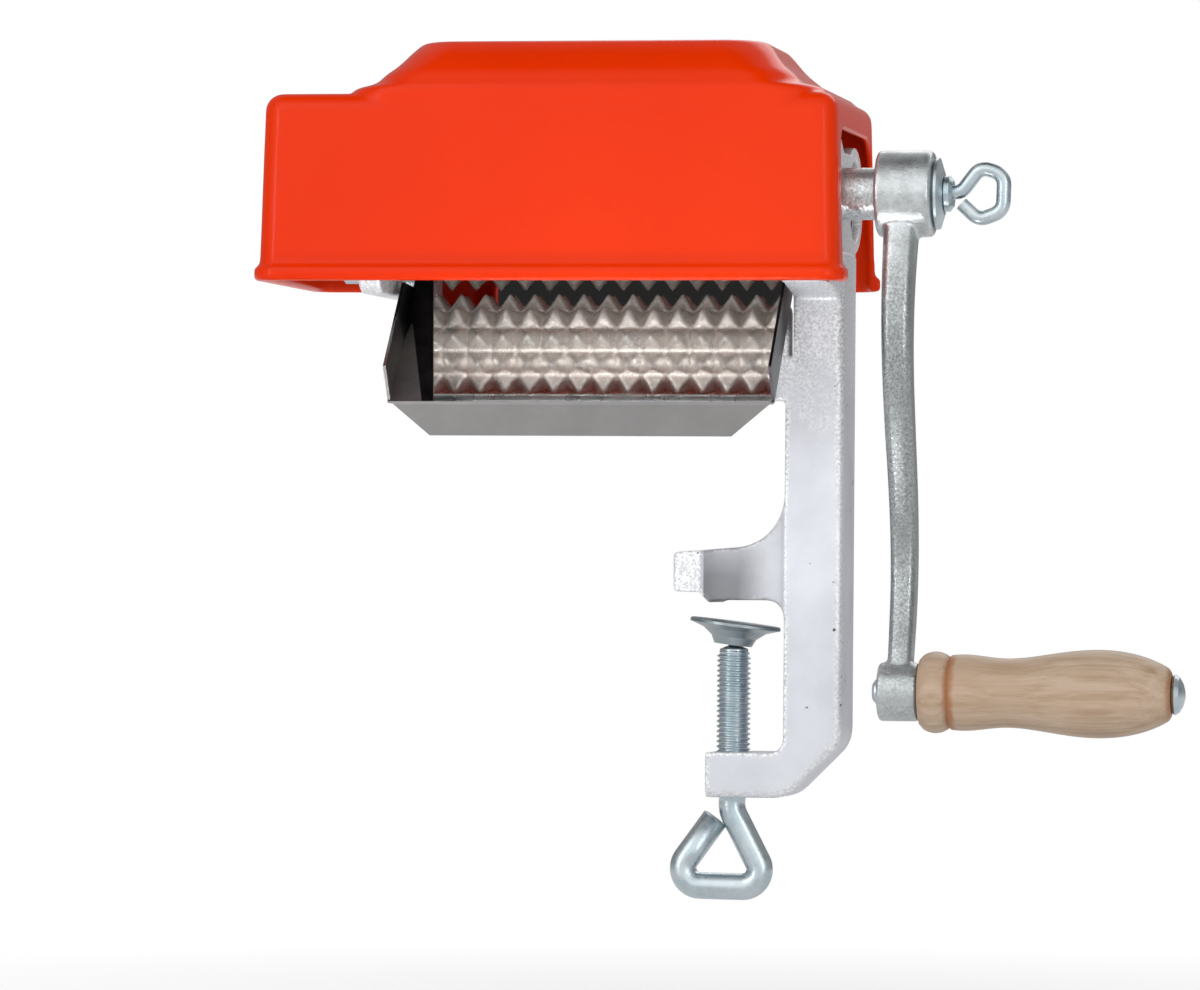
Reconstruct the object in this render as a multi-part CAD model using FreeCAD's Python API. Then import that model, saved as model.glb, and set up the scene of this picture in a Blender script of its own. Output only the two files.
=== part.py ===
import FreeCAD, Part
import math
import os

# Hand cranked meat tenderizer with a table clamp, in millimetres.
# +X runs along the rollers towards the crank, +Y to the back, +Z up.
# The origin is on the clamp screw's axis, in the flat face of the upper jaw:
# z = 0 is the top of the table that the machine is clamped to.

Vec = FreeCAD.Vector
along_x = Vec(1, 0, 0)
along_y = Vec(0, 1, 0)
along_z = Vec(0, 0, 1)

# Clearances
turning_fit = 0.05          # radial, a shaft in its bush or a screw in its thread
snug_fit = 0.03             # radial, pieces that are fixed to each other
face_gap = 0.3              # between faces that lean on each other
side_play = 0.5             # end play of a roller between the end plates

# Frame casting: column, end plate, jaw and lower arm
jaw_throat = 19.6           # clamp screw axis to the column
column_width = 20.4         # along X
column_depth = 30.4         # along Y
casting_edge = 2.4          # rounding of the casting's long edges
axis_height = 140.0         # roller axes above the jaw face
end_plate_thickness = 17.7
front_lobe_radius = 21.5
rear_lobe_radius = 18.6
lobe_web = 15.5             # half height of the web between the lobes
lobe_step = 1.6             # end plate's outer face inside the column's
jaw_reach = 38.3            # column to the tip of the jaw
jaw_tip_length = 9.0
jaw_tip_height = 13.8
jaw_tip_relief = 2.7        # tip's underside above the jaw face
jaw_tip_width = 37.0
jaw_neck_width = 22.0
jaw_rise = 18.2             # top of the jaw's neck above its face
jaw_fillet = 19.0
nib_depth = 1.0             # biting ridge under the jaw
nib_width = 2.6
lower_arm_depth = 52.7      # top of the lower arm below the jaw face
lower_arm_thickness = 15.6
lower_arm_overhang = 7.6    # past the screw's axis
lower_corner = 19.0         # bevel under the column's foot
foot_fillet = 12.0
jaw_under_fillet = 6.5
throat_fillet = 4.5
lug_top = 56.0              # below the roller axes
lug_height = 15.0
lug_reach = 13.0
lug_step = 2.7              # column is this much thinner above the lug
tray_seat_width = 8.0

# Rollers
axis_spacing = 43.0
roller_tip_radius = 21.2
roller_root_radius = 16.2
tooth_rows = 12
tooth_pitch = 8.85
teeth_per_row = 15
tooth_land = 0.5            # flat at a tooth's tip
front_row_turn = 15.0       # degrees from straight down to the next row
roller_shoulder_radius = 15.5
roller_shoulder_right = 5.6
roller_shoulder_left = 0.5

# Shafts, bushes and gears
shaft_radius = 9.0
right_bush_radius = 14.0
right_bush_recess = 3.0
left_bush_radius = 12.5
left_plate_thickness = 8.0
left_plate_drop = 35.0      # bottom edge below the roller axes
left_plate_corner = 9.0
plate_side_gap = 2.0
gear_seat_radius = 7.0
gear_gap = 1.6              # left plate to gear
gear_width = 14.0
gear_teeth = 14
gear_tip_radius = 24.3
gear_root_radius = 18.3
gear_backlash = 0.6
gear_pressure_angle = 22.5
gear_hub_length = 2.5
key_width = 4.0
key_length = 11.0
end_thread_radius = 5.0
gear_washer_thickness = 1.6
gear_washer_radius = 9.5
gear_nut_across = 16.0
gear_nut_height = 5.5
thread_end = 1.5            # thread that stands out of a nut

# Tie rods
tie_rod_radius = 3.5
tie_thread_radius = 3.0
tie_screwed_depth = 9.0
tie_nut_across = 10.0
tie_nut_height = 5.0
tie_boss_radius = 5.4
front_low_rod = (-40.5, -26.0)      # y, and z from the roller axes
front_top_rod = (-39.0, 25.0)
tray_rod = (10.2, -28.0)

# Cover
cover_wall = 2.3
cover_side_gap = 0.9        # gear to the long walls
cover_end_gap = 6.0         # shaft end to the left wall
cover_headroom = 31.7       # ceiling above the roller axes
cover_drop = 31.0           # rim below the roller axes
cover_draft = 1.6           # each wall leans in by this at the top
cover_corner = 7.0
cover_edge = 6.0            # rounding of the top edge
rim_height = 5.0
rim_flare = 1.8
hopper_rise = 18.8
hopper_left_shoulder = 30.0
hopper_right_shoulder = 6.5
hopper_front_shoulder = 1.7
hopper_left_flank = 22.0
hopper_right_flank = 22.0
hopper_side_flank = 15.0
hopper_corner = 16.0
hopper_edge = 6.0
feed_length = 108.0
feed_width = 30.0
feed_lip = 6.0
arch_front = 34.0           # arch in the right wall, from the middle
arch_rear = 42.0
arch_round = 15.0

# Exit tray, folded from sheet
sheet = 1.0
tray_slope = 45.0
tray_fold_drop = 73.0       # front fold below the roller axes
tray_lip = 11.0
tray_corner_cut = 15.0
tray_flange = 15.0
tray_side_gap = 2.3
tray_hook_turn = 165.0

# Table clamp
screw_radius = 5.9
thread_pitch = 1.75
thread_depth = 0.95
screw_nose_radius = 3.0     # ball at the screw's upper end
nose_neck_radius = 2.0
eye_rod_radius = 4.65
pad_radius = 15.8
pad_height = 8.0
pad_rim = 1.3
pad_hub_radius = 6.6
pad_throat_play = 0.3       # ball to the pad's opening
pad_to_thread = 1.4
pad_gap = 7.6               # jaw face to the middle of the pad's top
pad_roof = 1.4
pad_tilt = 7.0              # degrees that the loose pad leans at rest
pad_play = 0.2
ring_wire_radius = 0.45     # snap ring that keeps the pad on the ball
ring_play = 0.3

# Crank
crank_gap = 12.5            # column to crank hub
crank_hub_radius = 14.9
crank_hub_length = 19.6
tang_half = 5.6             # half the square on the drive shaft
crank_length = 171.0
crank_arm_top = 11.2        # arm's width along X at the hub
crank_arm_bottom = 8.0
crank_arm_breadth = 13.0
crank_sweep = 11.0          # how far the arm bends to each side
grip_hub_radius = 10.1
grip_hub_length = 14.0
eye_washer_radius = 12.3
eye_washer_height = 3.4
eye_thread_radius = 4.0
eye_thread_length = 15.0
eye_wire_radius = 2.5
eye_length = 22.5
eye_width = 21.0

# Grip
pin_radius = 3.5
pin_head_radius = 7.0
pin_head_height = 4.2
rivet_radius = 4.4
rivet_height = 2.2
grip_length = 86.4
grip_bead_radius = 14.0
grip_bead_length = 10.0
grip_waist_radius = 11.9
grip_belly_radius = 15.1
grip_end_radius = 9.6

# Places along X, worked out from the column to the left and to the right
column_left = jaw_throat
column_right = jaw_throat + column_width
plate_inner = column_right - end_plate_thickness
plate_outer = column_right - lobe_step
roller_right = plate_inner - side_play
teeth_right = roller_right - roller_shoulder_right
teeth_left = teeth_right - tooth_pitch * teeth_per_row
roller_left = teeth_left - roller_shoulder_left
left_plate_inner = roller_left - side_play
left_plate_outer = left_plate_inner - left_plate_thickness
gear_right = left_plate_outer - gear_gap
gear_left = gear_right - gear_width
gear_hub_left = gear_left - gear_hub_length
gear_nut_right = gear_hub_left - gear_washer_thickness
shaft_left = gear_nut_right - gear_nut_height - thread_end
cover_left_inner = shaft_left - cover_end_gap
cover_left = cover_left_inner - cover_wall
cover_right_inner = column_right + face_gap
cover_right = cover_right_inner + cover_wall
crank_left = column_right + crank_gap
crank_right = crank_left + crank_hub_length
crank_middle = crank_left + crank_hub_length / 2 - 1.2

# Places along Y and Z
front_axis = -axis_spacing / 2
rear_axis = axis_spacing / 2
cover_inner_half = axis_spacing / 2 + gear_tip_radius + cover_side_gap
cover_half = cover_inner_half + cover_wall
left_plate_half = cover_inner_half - plate_side_gap
cover_ceiling = axis_height + cover_headroom
cover_top = cover_ceiling + cover_wall
cover_bottom = axis_height - cover_drop
left_plate_top = cover_ceiling - face_gap
lower_arm_top = -lower_arm_depth
lower_arm_bottom = lower_arm_top - lower_arm_thickness
pad_top = -pad_gap
nose_centre = pad_top - pad_roof - screw_nose_radius - pad_play
grip_axis_height = axis_height - crank_length


def save(node, shape):
    """Write one sub-part."""
    shape.exportStep("parts/" + node + ".step")


def rod_x(x_from, x_to, y, z, radius):
    """Round bar along X."""
    return Part.makeCylinder(radius, x_to - x_from, Vec(x_from, y, z), along_x)


def ring_x(x_from, x_to, y, z, outer, inner):
    """Sleeve along X."""
    return rod_x(x_from, x_to, y, z, outer).cut(rod_x(x_from - 1, x_to + 1, y, z, inner))


def block(x_from, x_to, y_from, y_to, z_from, z_to):
    """Plain block between two corners."""
    return Part.makeBox(x_to - x_from, y_to - y_from, z_to - z_from, Vec(x_from, y_from, z_from))


def prism(points, depth):
    """Flat outline of vectors, drawn out along a vector."""
    return Part.Face(Part.makePolygon(points + points[:1])).extrude(depth)


def hexagon_x(x_from, x_to, y, z, across, bore):
    """Nut along X, with two flats upright and its corners turned round."""
    corner = across / math.sqrt(3)
    points = [Vec(x_from, y + corner * math.cos(math.radians(60 * i + 30)),
                  z + corner * math.sin(math.radians(60 * i + 30))) for i in range(6)]
    nut = prism(points, Vec(x_to - x_from, 0, 0))
    bevel = (corner - across / 2) * 0.9
    turned = revolved_x([(x_from, 0), (x_from, corner - bevel), (x_from + bevel * 0.6, corner),
                         (x_to - bevel * 0.6, corner), (x_to, corner - bevel), (x_to, 0)], y, z)
    return nut.common(turned).cut(rod_x(x_from - 1, x_to + 1, y, z, bore))


def revolved_x(outline, y, z):
    """Solid turned about the line through y, z along X, from (x, radius) points."""
    points = [Vec(x, y, z + radius) for x, radius in outline]
    face = Part.Face(Part.makePolygon(points + points[:1]))
    return face.revolve(Vec(0, y, z), along_x, 360)


def revolved_z(outline, x=0, y=0):
    """Solid turned about an upright line, from (radius, z) points."""
    points = [Vec(x + radius, y, z) for radius, z in outline]
    face = Part.Face(Part.makePolygon(points + points[:1]))
    return face.revolve(Vec(x, y, 0), along_z, 360)


def rounded(shape, radius, wanted):
    """Round the edges that a test picks, as far as the walls allow."""
    edges = [edge for edge in shape.Edges if wanted(edge)]
    return shape.makeFillet(radius, edges) if edges else shape


def straight(edge):
    return isinstance(edge.Curve, (Part.Line, Part.LineSegment))


def direction(edge):
    return (edge.Vertexes[-1].Point - edge.Vertexes[0].Point).normalize()


def rounded_rectangle(x_from, x_to, y_from, y_to, z, radius):
    """Closed wire of a rectangle with round corners, level at z."""
    corners = [(x_to - radius, y_to - radius, 0), (x_from + radius, y_to - radius, 90),
               (x_from + radius, y_from + radius, 180), (x_to - radius, y_from + radius, 270)]
    arcs = [Part.Arc(Part.Circle(Vec(cx, cy, z), along_z, radius), math.radians(turn),
                     math.radians(turn + 90)) for cx, cy, turn in corners]
    edges = []
    for arc, following in zip(arcs, arcs[1:] + arcs[:1]):
        edges += [arc.toShape(), Part.makeLine(arc.EndPoint, following.StartPoint)]
    return Part.Wire(edges)


def bent_path(corners):
    """Wire of straight runs joined by arcs, from (point, bend radius) pairs."""
    edges = []
    start = corners[0][0]
    for (before, _), (corner, radius), (after, _) in zip(corners, corners[1:], corners[2:]):
        back = (before - corner).normalize()
        ahead = (after - corner).normalize()
        half = back.getAngle(ahead) / 2
        inset = radius / math.tan(half)
        first = corner + back * inset
        last = corner + ahead * inset
        middle_way = (back + ahead).normalize()
        middle = corner + middle_way * (radius / math.sin(half) - radius)
        edges += [Part.makeLine(start, first), Part.Arc(first, middle, last).toShape()]
        start = last
    edges.append(Part.makeLine(start, corners[-1][0]))
    return Part.Wire(edges)


def wire_rod(corners, radius):
    """Round rod bent along a path."""
    path = bent_path(corners)
    heading = (corners[1][0] - corners[0][0]).normalize()
    section = Part.Wire(Part.makeCircle(radius, corners[0][0], heading))
    return path.makePipeShell([section], True, False)


# Frame casting

def column_outline():
    """Front view of the column and the lower arm."""
    bevel = lower_corner
    top = axis_height - 20
    points = [(column_left + lug_step, top), (column_right, top),
              (column_right, lower_arm_bottom + bevel), (column_right - bevel, lower_arm_bottom),
              (-lower_arm_overhang, lower_arm_bottom), (-lower_arm_overhang, lower_arm_top),
              (column_left, lower_arm_top), (column_left, axis_height - lug_top),
              (column_left + lug_step, axis_height - lug_top)]
    return [Vec(x, -column_depth / 2, z) for x, z in points]


def end_lobes():
    """Upper end plate: two round lobes with a web, ears for the tie rods and a neck."""
    low = axis_height
    lobes = rod_x(plate_inner, plate_outer, front_axis, low, front_lobe_radius)
    lobes = lobes.fuse(rod_x(plate_inner, plate_outer, rear_axis, low, rear_lobe_radius))
    web = block(plate_inner, plate_outer, front_axis, rear_axis, low - lobe_web, low + lobe_web)
    lobes = lobes.fuse(web)
    neck = [(-front_lobe_radius + 8, -12), (-column_depth / 2, -38), (-column_depth / 2, -44),
            (column_depth / 2, -44), (column_depth / 2, -38), (rear_lobe_radius + 8, -10), (0, 0)]
    lobes = lobes.fuse(prism([Vec(plate_inner, y, low + z) for y, z in neck],
                             Vec(plate_outer - plate_inner, 0, 0)))
    for y, z in (front_low_rod, front_top_rod):
        ear = rod_x(plate_inner, plate_inner + tie_screwed_depth + 4, y, low + z, tie_boss_radius)
        way = Vec(0, y - front_axis, z).normalize()
        side = Vec(0, -way.z, way.y) * tie_boss_radius
        root = Vec(plate_inner, front_axis, low) + way * (front_lobe_radius - 9)
        tip = Vec(plate_inner, y, low + z)
        arm = prism([root - side, tip - side, tip + side, root + side],
                    Vec(tie_screwed_depth + 4, 0, 0))
        lobes = lobes.fuse([ear, arm])
    y, z = front_low_rod
    web = [(y + 1, z - tie_boss_radius + 0.2), (-column_depth / 2 + 1, z - tie_boss_radius - 4),
           (-column_depth / 2 + 1, -10), (front_axis, -10)]
    lobes = lobes.fuse(prism([Vec(plate_inner, across, low + up) for across, up in web],
                             Vec(plate_outer - plate_inner, 0, 0)))
    y, z = tray_rod
    lobes = lobes.fuse(rod_x(plate_inner, plate_outer, y, low + z, tie_boss_radius + 1.5))
    return lobes.removeSplitter()


def upper_jaw():
    """Upper jaw with its flared tip: its outline from above, met with its outline from the front."""
    tip = column_left - jaw_reach
    neck = tip + jaw_tip_length
    root = column_left + 1
    half_tip = jaw_tip_width / 2
    half_root = column_depth / 2
    low, high = -jaw_under_fillet - 1, jaw_rise + jaw_fillet
    sides = []
    for sign in (-1, 1):
        middle = Vec(neck + (root - neck) * 0.42, sign * jaw_neck_width / 2, low)
        sides.append(Part.Arc(Vec(neck, sign * half_tip, low), middle,
                              Vec(root, sign * half_root, low)).toShape())
    front, rear = sides
    tip_front, tip_rear = Vec(tip, -half_tip, low), Vec(tip, half_tip, low)
    edges = [Part.makeLine(tip_rear, tip_front), Part.makeLine(tip_front, Vec(neck, -half_tip, low)),
             front, Part.makeLine(Vec(root, -half_root, low), Vec(root, half_root, low)), rear,
             Part.makeLine(Vec(neck, half_tip, low), tip_rear)]
    plan = Part.Face(Part.Wire(Part.__sortEdges__(edges))).extrude(Vec(0, 0, high - low))

    def at(x, z):
        return Vec(x, -jaw_tip_width, z)

    slant = math.sqrt(0.5)
    top_arc = Part.Arc(at(column_left - jaw_fillet, jaw_rise),
                       at(column_left - jaw_fillet * (1 - slant), jaw_rise + jaw_fillet * (1 - slant)),
                       at(column_left, jaw_rise + jaw_fillet))
    r_low = jaw_under_fillet
    under_arc = Part.Arc(at(column_left, -r_low), at(column_left - r_low * (1 - slant), -r_low * (1 - slant)),
                         at(column_left - r_low, 0))
    line = [at(column_left, jaw_rise + jaw_fillet), at(root, jaw_rise + jaw_fillet), at(root, -r_low),
            at(column_left, -r_low)]
    under = [at(column_left - r_low, 0), at(neck + 3 + nib_width, 0), at(neck + 3, -nib_depth),
             at(neck, jaw_tip_relief), at(tip, jaw_tip_relief), at(tip, jaw_tip_relief + jaw_tip_height),
             at(neck, jaw_rise - 1.0), at(column_left - jaw_fillet, jaw_rise)]
    outline = [top_arc.toShape()]
    outline += [Part.makeLine(p, q) for p, q in zip(line, line[1:])]
    outline.append(under_arc.toShape())
    outline += [Part.makeLine(p, q) for p, q in zip(under, under[1:])]
    side = Part.Face(Part.Wire(outline)).extrude(Vec(0, 2 * jaw_tip_width, 0))
    jaw = plan.common(side)
    return rounded(jaw, 1.6, lambda e: e.BoundBox.XMax < neck + 0.01 and e.BoundBox.XMin < tip + 0.01
                   and e.BoundBox.XLength < 0.01)


def frame_casting():
    """Column, jaw, lower arm and end plate cast in one piece."""
    depth = Vec(0, column_depth, 0)
    column = prism(column_outline(), depth)

    def upright_corner(x, z):
        def test(edge):
            if not straight(edge) or abs(abs(direction(edge).y) - 1) > 1e-6:
                return False
            point = edge.Vertexes[0].Point
            return abs(point.x - x) < 0.01 and abs(point.z - z) < 0.01
        return test

    column = rounded(column, throat_fillet, upright_corner(column_left, lower_arm_top))
    column = rounded(column, foot_fillet, upright_corner(column_right, lower_arm_bottom + lower_corner))
    column = rounded(column, foot_fillet,
                     upright_corner(column_right - lower_corner, lower_arm_bottom))

    def long_edge(edge):
        """Edges of the column and the lower arm on its front and back faces."""
        box = edge.BoundBox
        on_face = box.YLength < 0.01 and abs(abs(box.YMin) - column_depth / 2) < 0.01
        right_side = box.XMin > column_left + 3 and box.ZMax < axis_height - 45
        return on_face and right_side and box.DiagonalLength > 3

    column = rounded(column, casting_edge, long_edge)
    lug_low = axis_height - lug_top - lug_height
    lug = block(column_left - 3.5, column_left + 2, -column_depth / 2, column_depth / 2 - 8,
                lug_low, lug_low + lug_height)
    lug = rounded(lug, 1.8, lambda e: e.BoundBox.XMax < column_left - 3 and e.BoundBox.XLength < 0.01)
    casting = column.fuse([upper_jaw(), lug, tray_seat(), end_lobes()])
    bores = [rod_x(plate_inner - 1, column_right + 1, y, axis_height, right_bush_radius)
             for y in (front_axis, rear_axis)]
    for y, z in (front_low_rod, front_top_rod, tray_rod):
        bores.append(rod_x(plate_inner - 1, plate_inner + tie_screwed_depth, y, axis_height + z,
                           tie_thread_radius + snug_fit))
    bores.append(Part.makeCylinder(screw_radius + turning_fit, lower_arm_thickness + 2,
                                   Vec(0, 0, lower_arm_bottom - 1)))
    return casting.cut(bores).removeSplitter()


# Exit tray: places in its own slope, then in the machine

slope = math.radians(tray_slope)
down_slope = Vec(0, -math.cos(slope), -math.sin(slope))
off_slope = Vec(0, -math.sin(slope), math.cos(slope))
tray_pivot = Vec(0, tray_rod[0], axis_height + tray_rod[1])
hook_inner = tie_rod_radius + face_gap
tray_left = left_plate_inner + tray_side_gap
tray_right = column_left + lug_step - tray_side_gap
plate_start = tray_pivot + off_slope * hook_inner
tray_run = (plate_start.z - (axis_height - tray_fold_drop)) / math.sin(slope)


def tray_seat():
    """Sloping pad on the lug that the tray lies on, hidden under the tray."""
    under = tray_pivot + off_slope * (hook_inner - face_gap)
    lug_low = axis_height - lug_top - lug_height
    y_front = -column_depth / 2
    y_back = y_front + 11.0
    z_at = {y: under.z + (y - under.y) * math.tan(slope) for y in (y_front, y_back)}
    side = [Vec(0, y_front, lug_low), Vec(0, y_back, lug_low), Vec(0, y_back, z_at[y_back]),
            Vec(0, y_front, z_at[y_front])]
    left = tray_right - sheet - tray_seat_width
    seat = prism([Vec(left, p.y, p.z) for p in side], Vec(column_left + 2 - left, 0, 0))
    over_lug = block(tray_right + 0.5, column_left + 3, -column_depth, column_depth,
                     lug_low + lug_height, axis_height)
    return seat.cut(over_lug)


def exit_tray():
    """Hook, sloping plate, two side flanges and a front lip with cut corners."""
    width = Vec(tray_right - tray_left, 0, 0)
    shift = Vec(tray_left, 0, 0)
    hook = ring_x(tray_left, tray_right, tray_pivot.y, tray_pivot.z, hook_inner + sheet, hook_inner)
    start_angle = math.radians(90 + tray_slope)
    sweep = [tray_pivot + shift]
    steps = 6
    for i in range(steps + 1):
        angle = start_angle - math.radians(tray_hook_turn) * i / steps
        sweep.append(tray_pivot + shift + Vec(0, math.cos(angle), math.sin(angle)) * 12)
    hook = hook.common(prism(sweep, width))
    fold = plate_start + down_slope * tray_run
    corner = [plate_start, fold, fold + off_slope * sheet, plate_start + off_slope * sheet]
    plate = prism([p + shift for p in corner], width)
    lip_points = [fold + off_slope * sheet, fold, fold + Vec(0, 0.4, 0) - Vec(0, 0, tray_lip),
                  fold + Vec(0, 0.4 - sheet, 0) - Vec(0, 0, tray_lip),
                  fold + off_slope * sheet - Vec(0, 0.3, sheet)]
    lip = prism([p + shift for p in lip_points], width)
    for x, sign in ((tray_left, 1), (tray_right, -1)):
        y = fold.y - 5
        low = fold.z - tray_lip
        cut = [Vec(x - sign, y, low - 1), Vec(x - sign, y, fold.z + 1.5), Vec(x, y, fold.z + 1.5),
               Vec(x + sign * tray_corner_cut, y, low), Vec(x + sign * tray_corner_cut, y, low - 1)]
        lip = lip.cut(prism(cut, Vec(0, 10, 0)))
    rear_end = plate_start + down_slope * 9
    flange_points = [rear_end, plate_start + down_slope * (tray_run - 0.4),
                     plate_start + down_slope * (tray_run - 3) + off_slope * tray_flange,
                     plate_start + down_slope * 22 + off_slope * tray_flange]
    flanges = []
    for x in (tray_left, tray_right - sheet):
        flanges.append(prism([p + Vec(x, 0, 0) for p in flange_points], Vec(sheet, 0, 0)))
    tray = hook.fuse([plate, lip] + flanges).removeSplitter()

    def outer_fold(edge):
        if not straight(edge) or abs(abs(direction(edge).dot(down_slope)) - 1) > 1e-6:
            return False
        point = edge.Vertexes[0].Point
        under = abs((point - plate_start).dot(off_slope)) < 0.01
        return under and (abs(point.x - tray_left) < 0.01 or abs(point.x - tray_right) < 0.01)

    return rounded(tray, sheet * 0.8, outer_fold)


# Left end plate, tie rods and their nuts

def left_end_plate():
    """Plate that carries the rollers' left ends, with raised bush seats and ribs."""
    half = left_plate_half
    low = axis_height - left_plate_drop
    plate = block(left_plate_outer, left_plate_inner, -half, half, low, left_plate_top)
    plate = rounded(plate, left_plate_corner,
                    lambda e: straight(e) and abs(abs(direction(e).x) - 1) < 1e-6)
    plate = rounded(plate, 1.2, lambda e: e.BoundBox.XLength < 0.01)
    bores = []
    for y in (front_axis, rear_axis):
        bores.append(rod_x(left_plate_outer - 1, left_plate_inner + 1, y, axis_height, left_bush_radius))
    for y, z in (front_low_rod, front_top_rod, tray_rod):
        bores.append(rod_x(left_plate_outer - 1, left_plate_inner + 1, y, axis_height + z,
                           tie_thread_radius + snug_fit))
    return plate.cut(bores)


def tie_rod(place):
    """Steel rod with a shoulder and a thread at each end."""
    y, z = place[0], axis_height + place[1]
    nut_left = left_plate_outer - tie_nut_height
    body = rod_x(left_plate_inner, plate_inner, y, z, tie_rod_radius)
    left_end = rod_x(nut_left - thread_end, left_plate_inner, y, z, tie_thread_radius)
    right_end = rod_x(plate_inner, plate_inner + tie_screwed_depth - 1, y, z, tie_thread_radius)
    return body.fuse([left_end, right_end]).removeSplitter()


def tie_rod_nuts():
    """The three nuts that hold the left end plate."""
    nuts = []
    for y, z in (front_low_rod, front_top_rod, tray_rod):
        nuts.append(hexagon_x(left_plate_outer - tie_nut_height, left_plate_outer, y,
                              axis_height + z, tie_nut_across, tie_thread_radius + snug_fit))
    return Part.makeCompound(nuts)


# Rollers, shafts, bushes and gears

def toothed_roller(y, row_turn, axial_shift):
    """Rows of pyramids: a star shaped bar cut by ring grooves, with end shoulders."""
    points = []
    step = 360.0 / tooth_rows
    land = math.degrees(tooth_land / 2 / roller_tip_radius)
    for row in range(tooth_rows):
        middle = -90 + row_turn + row * step
        for turn, radius in ((middle - land, roller_tip_radius), (middle + land, roller_tip_radius),
                             (middle + step / 2, roller_root_radius)):
            angle = math.radians(turn)
            points.append(Vec(teeth_left, y + radius * math.cos(angle),
                              axis_height + radius * math.sin(angle)))
    star = prism(points, Vec(teeth_right - teeth_left, 0, 0))
    outline = [(teeth_left, 0)]
    inset = tooth_land / 2
    count = teeth_per_row + 1
    for tooth in range(count):
        middle = teeth_left + (tooth + 0.5 + axial_shift - 1) * tooth_pitch
        if axial_shift == 1:
            if tooth == teeth_per_row:
                continue
        valley = middle - tooth_pitch / 2
        if valley >= teeth_left - 0.01:
            outline.append((max(valley, teeth_left), roller_root_radius))
            outline.append((middle - inset, roller_tip_radius))
        else:
            outline.append((teeth_left, roller_tip_radius))
        if middle + inset < teeth_right:
            outline.append((middle + inset, roller_tip_radius))
    last_is_tip = axial_shift != 1
    outline.append((teeth_right, roller_tip_radius if last_is_tip else roller_root_radius))
    outline.append((teeth_right, 0))
    grooved = revolved_x(outline, y, axis_height)
    teeth = star.common(grooved)
    shoulders = rod_x(roller_left, roller_right, y, axis_height, roller_shoulder_radius)
    bore = rod_x(roller_left - 1, roller_right + 1, y, axis_height, shaft_radius + snug_fit)
    return teeth.fuse(shoulders).cut(bore)


def shaft(y, right_end, with_tang):
    """Steel shaft with a gear seat, a keyway and a threaded left end."""
    z = axis_height
    body = rod_x(gear_right + 0.3, right_end, y, z, shaft_radius)
    seat = rod_x(gear_hub_left + 0.2, gear_right + 1, y, z, gear_seat_radius)
    end = rod_x(shaft_left, gear_hub_left + 1, y, z, end_thread_radius)
    body = body.fuse([seat, end])
    if with_tang:
        tang = block(right_end - 0.5, crank_right - 0.8, y - tang_half, y + tang_half,
                     z - tang_half, z + tang_half)
        tang = tang.common(rod_x(right_end - 1, crank_right, y, z, tang_half * 1.3))
        screw_hole = rod_x(crank_right - eye_thread_length - 2, crank_right + 1, y, z,
                           eye_thread_radius + turning_fit)
        body = body.fuse(tang).cut(screw_hole)
    key_middle = (gear_left + gear_right) / 2
    keyway = block(key_middle - key_length / 2, key_middle + key_length / 2, y - key_width / 2,
                   y + key_width / 2, z + gear_seat_radius - key_width / 2, z + gear_seat_radius + 5)
    return body.cut(keyway).removeSplitter()


def key(y):
    """Square key between a shaft and its gear."""
    middle = (gear_left + gear_right) / 2
    low = axis_height + gear_seat_radius - key_width / 2
    fit = snug_fit
    return block(middle - key_length / 2 + fit, middle + key_length / 2 - fit,
                 y - key_width / 2 + fit, y + key_width / 2 - fit, low + fit, low + key_width - fit)


def involute(radius, base_radius):
    """Involute function of the pressure angle at a radius."""
    angle = math.acos(min(1.0, base_radius / radius))
    return math.tan(angle) - angle


def gear(y, turn):
    """Spur gear with involute teeth, a hub and a keyed bore; turn puts its first tooth."""
    z = axis_height
    pitch_radius = axis_spacing / 2
    base = pitch_radius * math.cos(math.radians(gear_pressure_angle))
    half_at_pitch = (math.pi * pitch_radius / gear_teeth - gear_backlash) / 2 / pitch_radius
    radii = [gear_root_radius]
    flank_steps = 5
    for i in range(flank_steps + 1):
        radii.append(base + 0.01 + (gear_tip_radius - base - 0.01) * i / flank_steps)
    points = []
    for tooth in range(gear_teeth):
        middle = math.radians(turn) + 2 * math.pi * tooth / gear_teeth
        halves = [half_at_pitch + involute(pitch_radius, base) - involute(max(r, base), base)
                  for r in radii]
        for radius, half in zip(radii, halves):
            points.append((radius, middle - half))
        for radius, half in reversed(list(zip(radii, halves))):
            points.append((radius, middle + half))
    outline = [Vec(gear_left, y + r * math.cos(a), z + r * math.sin(a)) for r, a in points]
    body = prism(outline, Vec(gear_width, 0, 0))
    rim = ring_x(gear_left - 1, gear_left + 3, y, z, gear_root_radius - 3.5, gear_seat_radius + 5)
    body = body.cut(rim)
    rim = ring_x(gear_right - 3, gear_right + 1, y, z, gear_root_radius - 3.5, gear_seat_radius + 5)
    body = body.cut(rim)
    hub = rod_x(gear_hub_left, gear_left + 1, y, z, gear_seat_radius + 3.5)
    body = body.fuse(hub)
    bore = rod_x(gear_hub_left - 1, gear_right + 1, y, z, gear_seat_radius + snug_fit)
    slot = block(gear_hub_left - 1, gear_right + 1, y - key_width / 2, y + key_width / 2, z,
                 z + gear_seat_radius + key_width / 2)
    return body.cut([bore, slot]).removeSplitter()


def gear_washer(y):
    return ring_x(gear_nut_right, gear_hub_left, y, axis_height, gear_washer_radius,
                  end_thread_radius + snug_fit)


def gear_nut(y):
    return hexagon_x(gear_nut_right - gear_nut_height, gear_nut_right, y, axis_height,
                     gear_nut_across, end_thread_radius + snug_fit)


def right_bush(y):
    return ring_x(plate_inner, plate_outer - right_bush_recess, y, axis_height,
                  right_bush_radius - snug_fit, shaft_radius + turning_fit)


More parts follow.
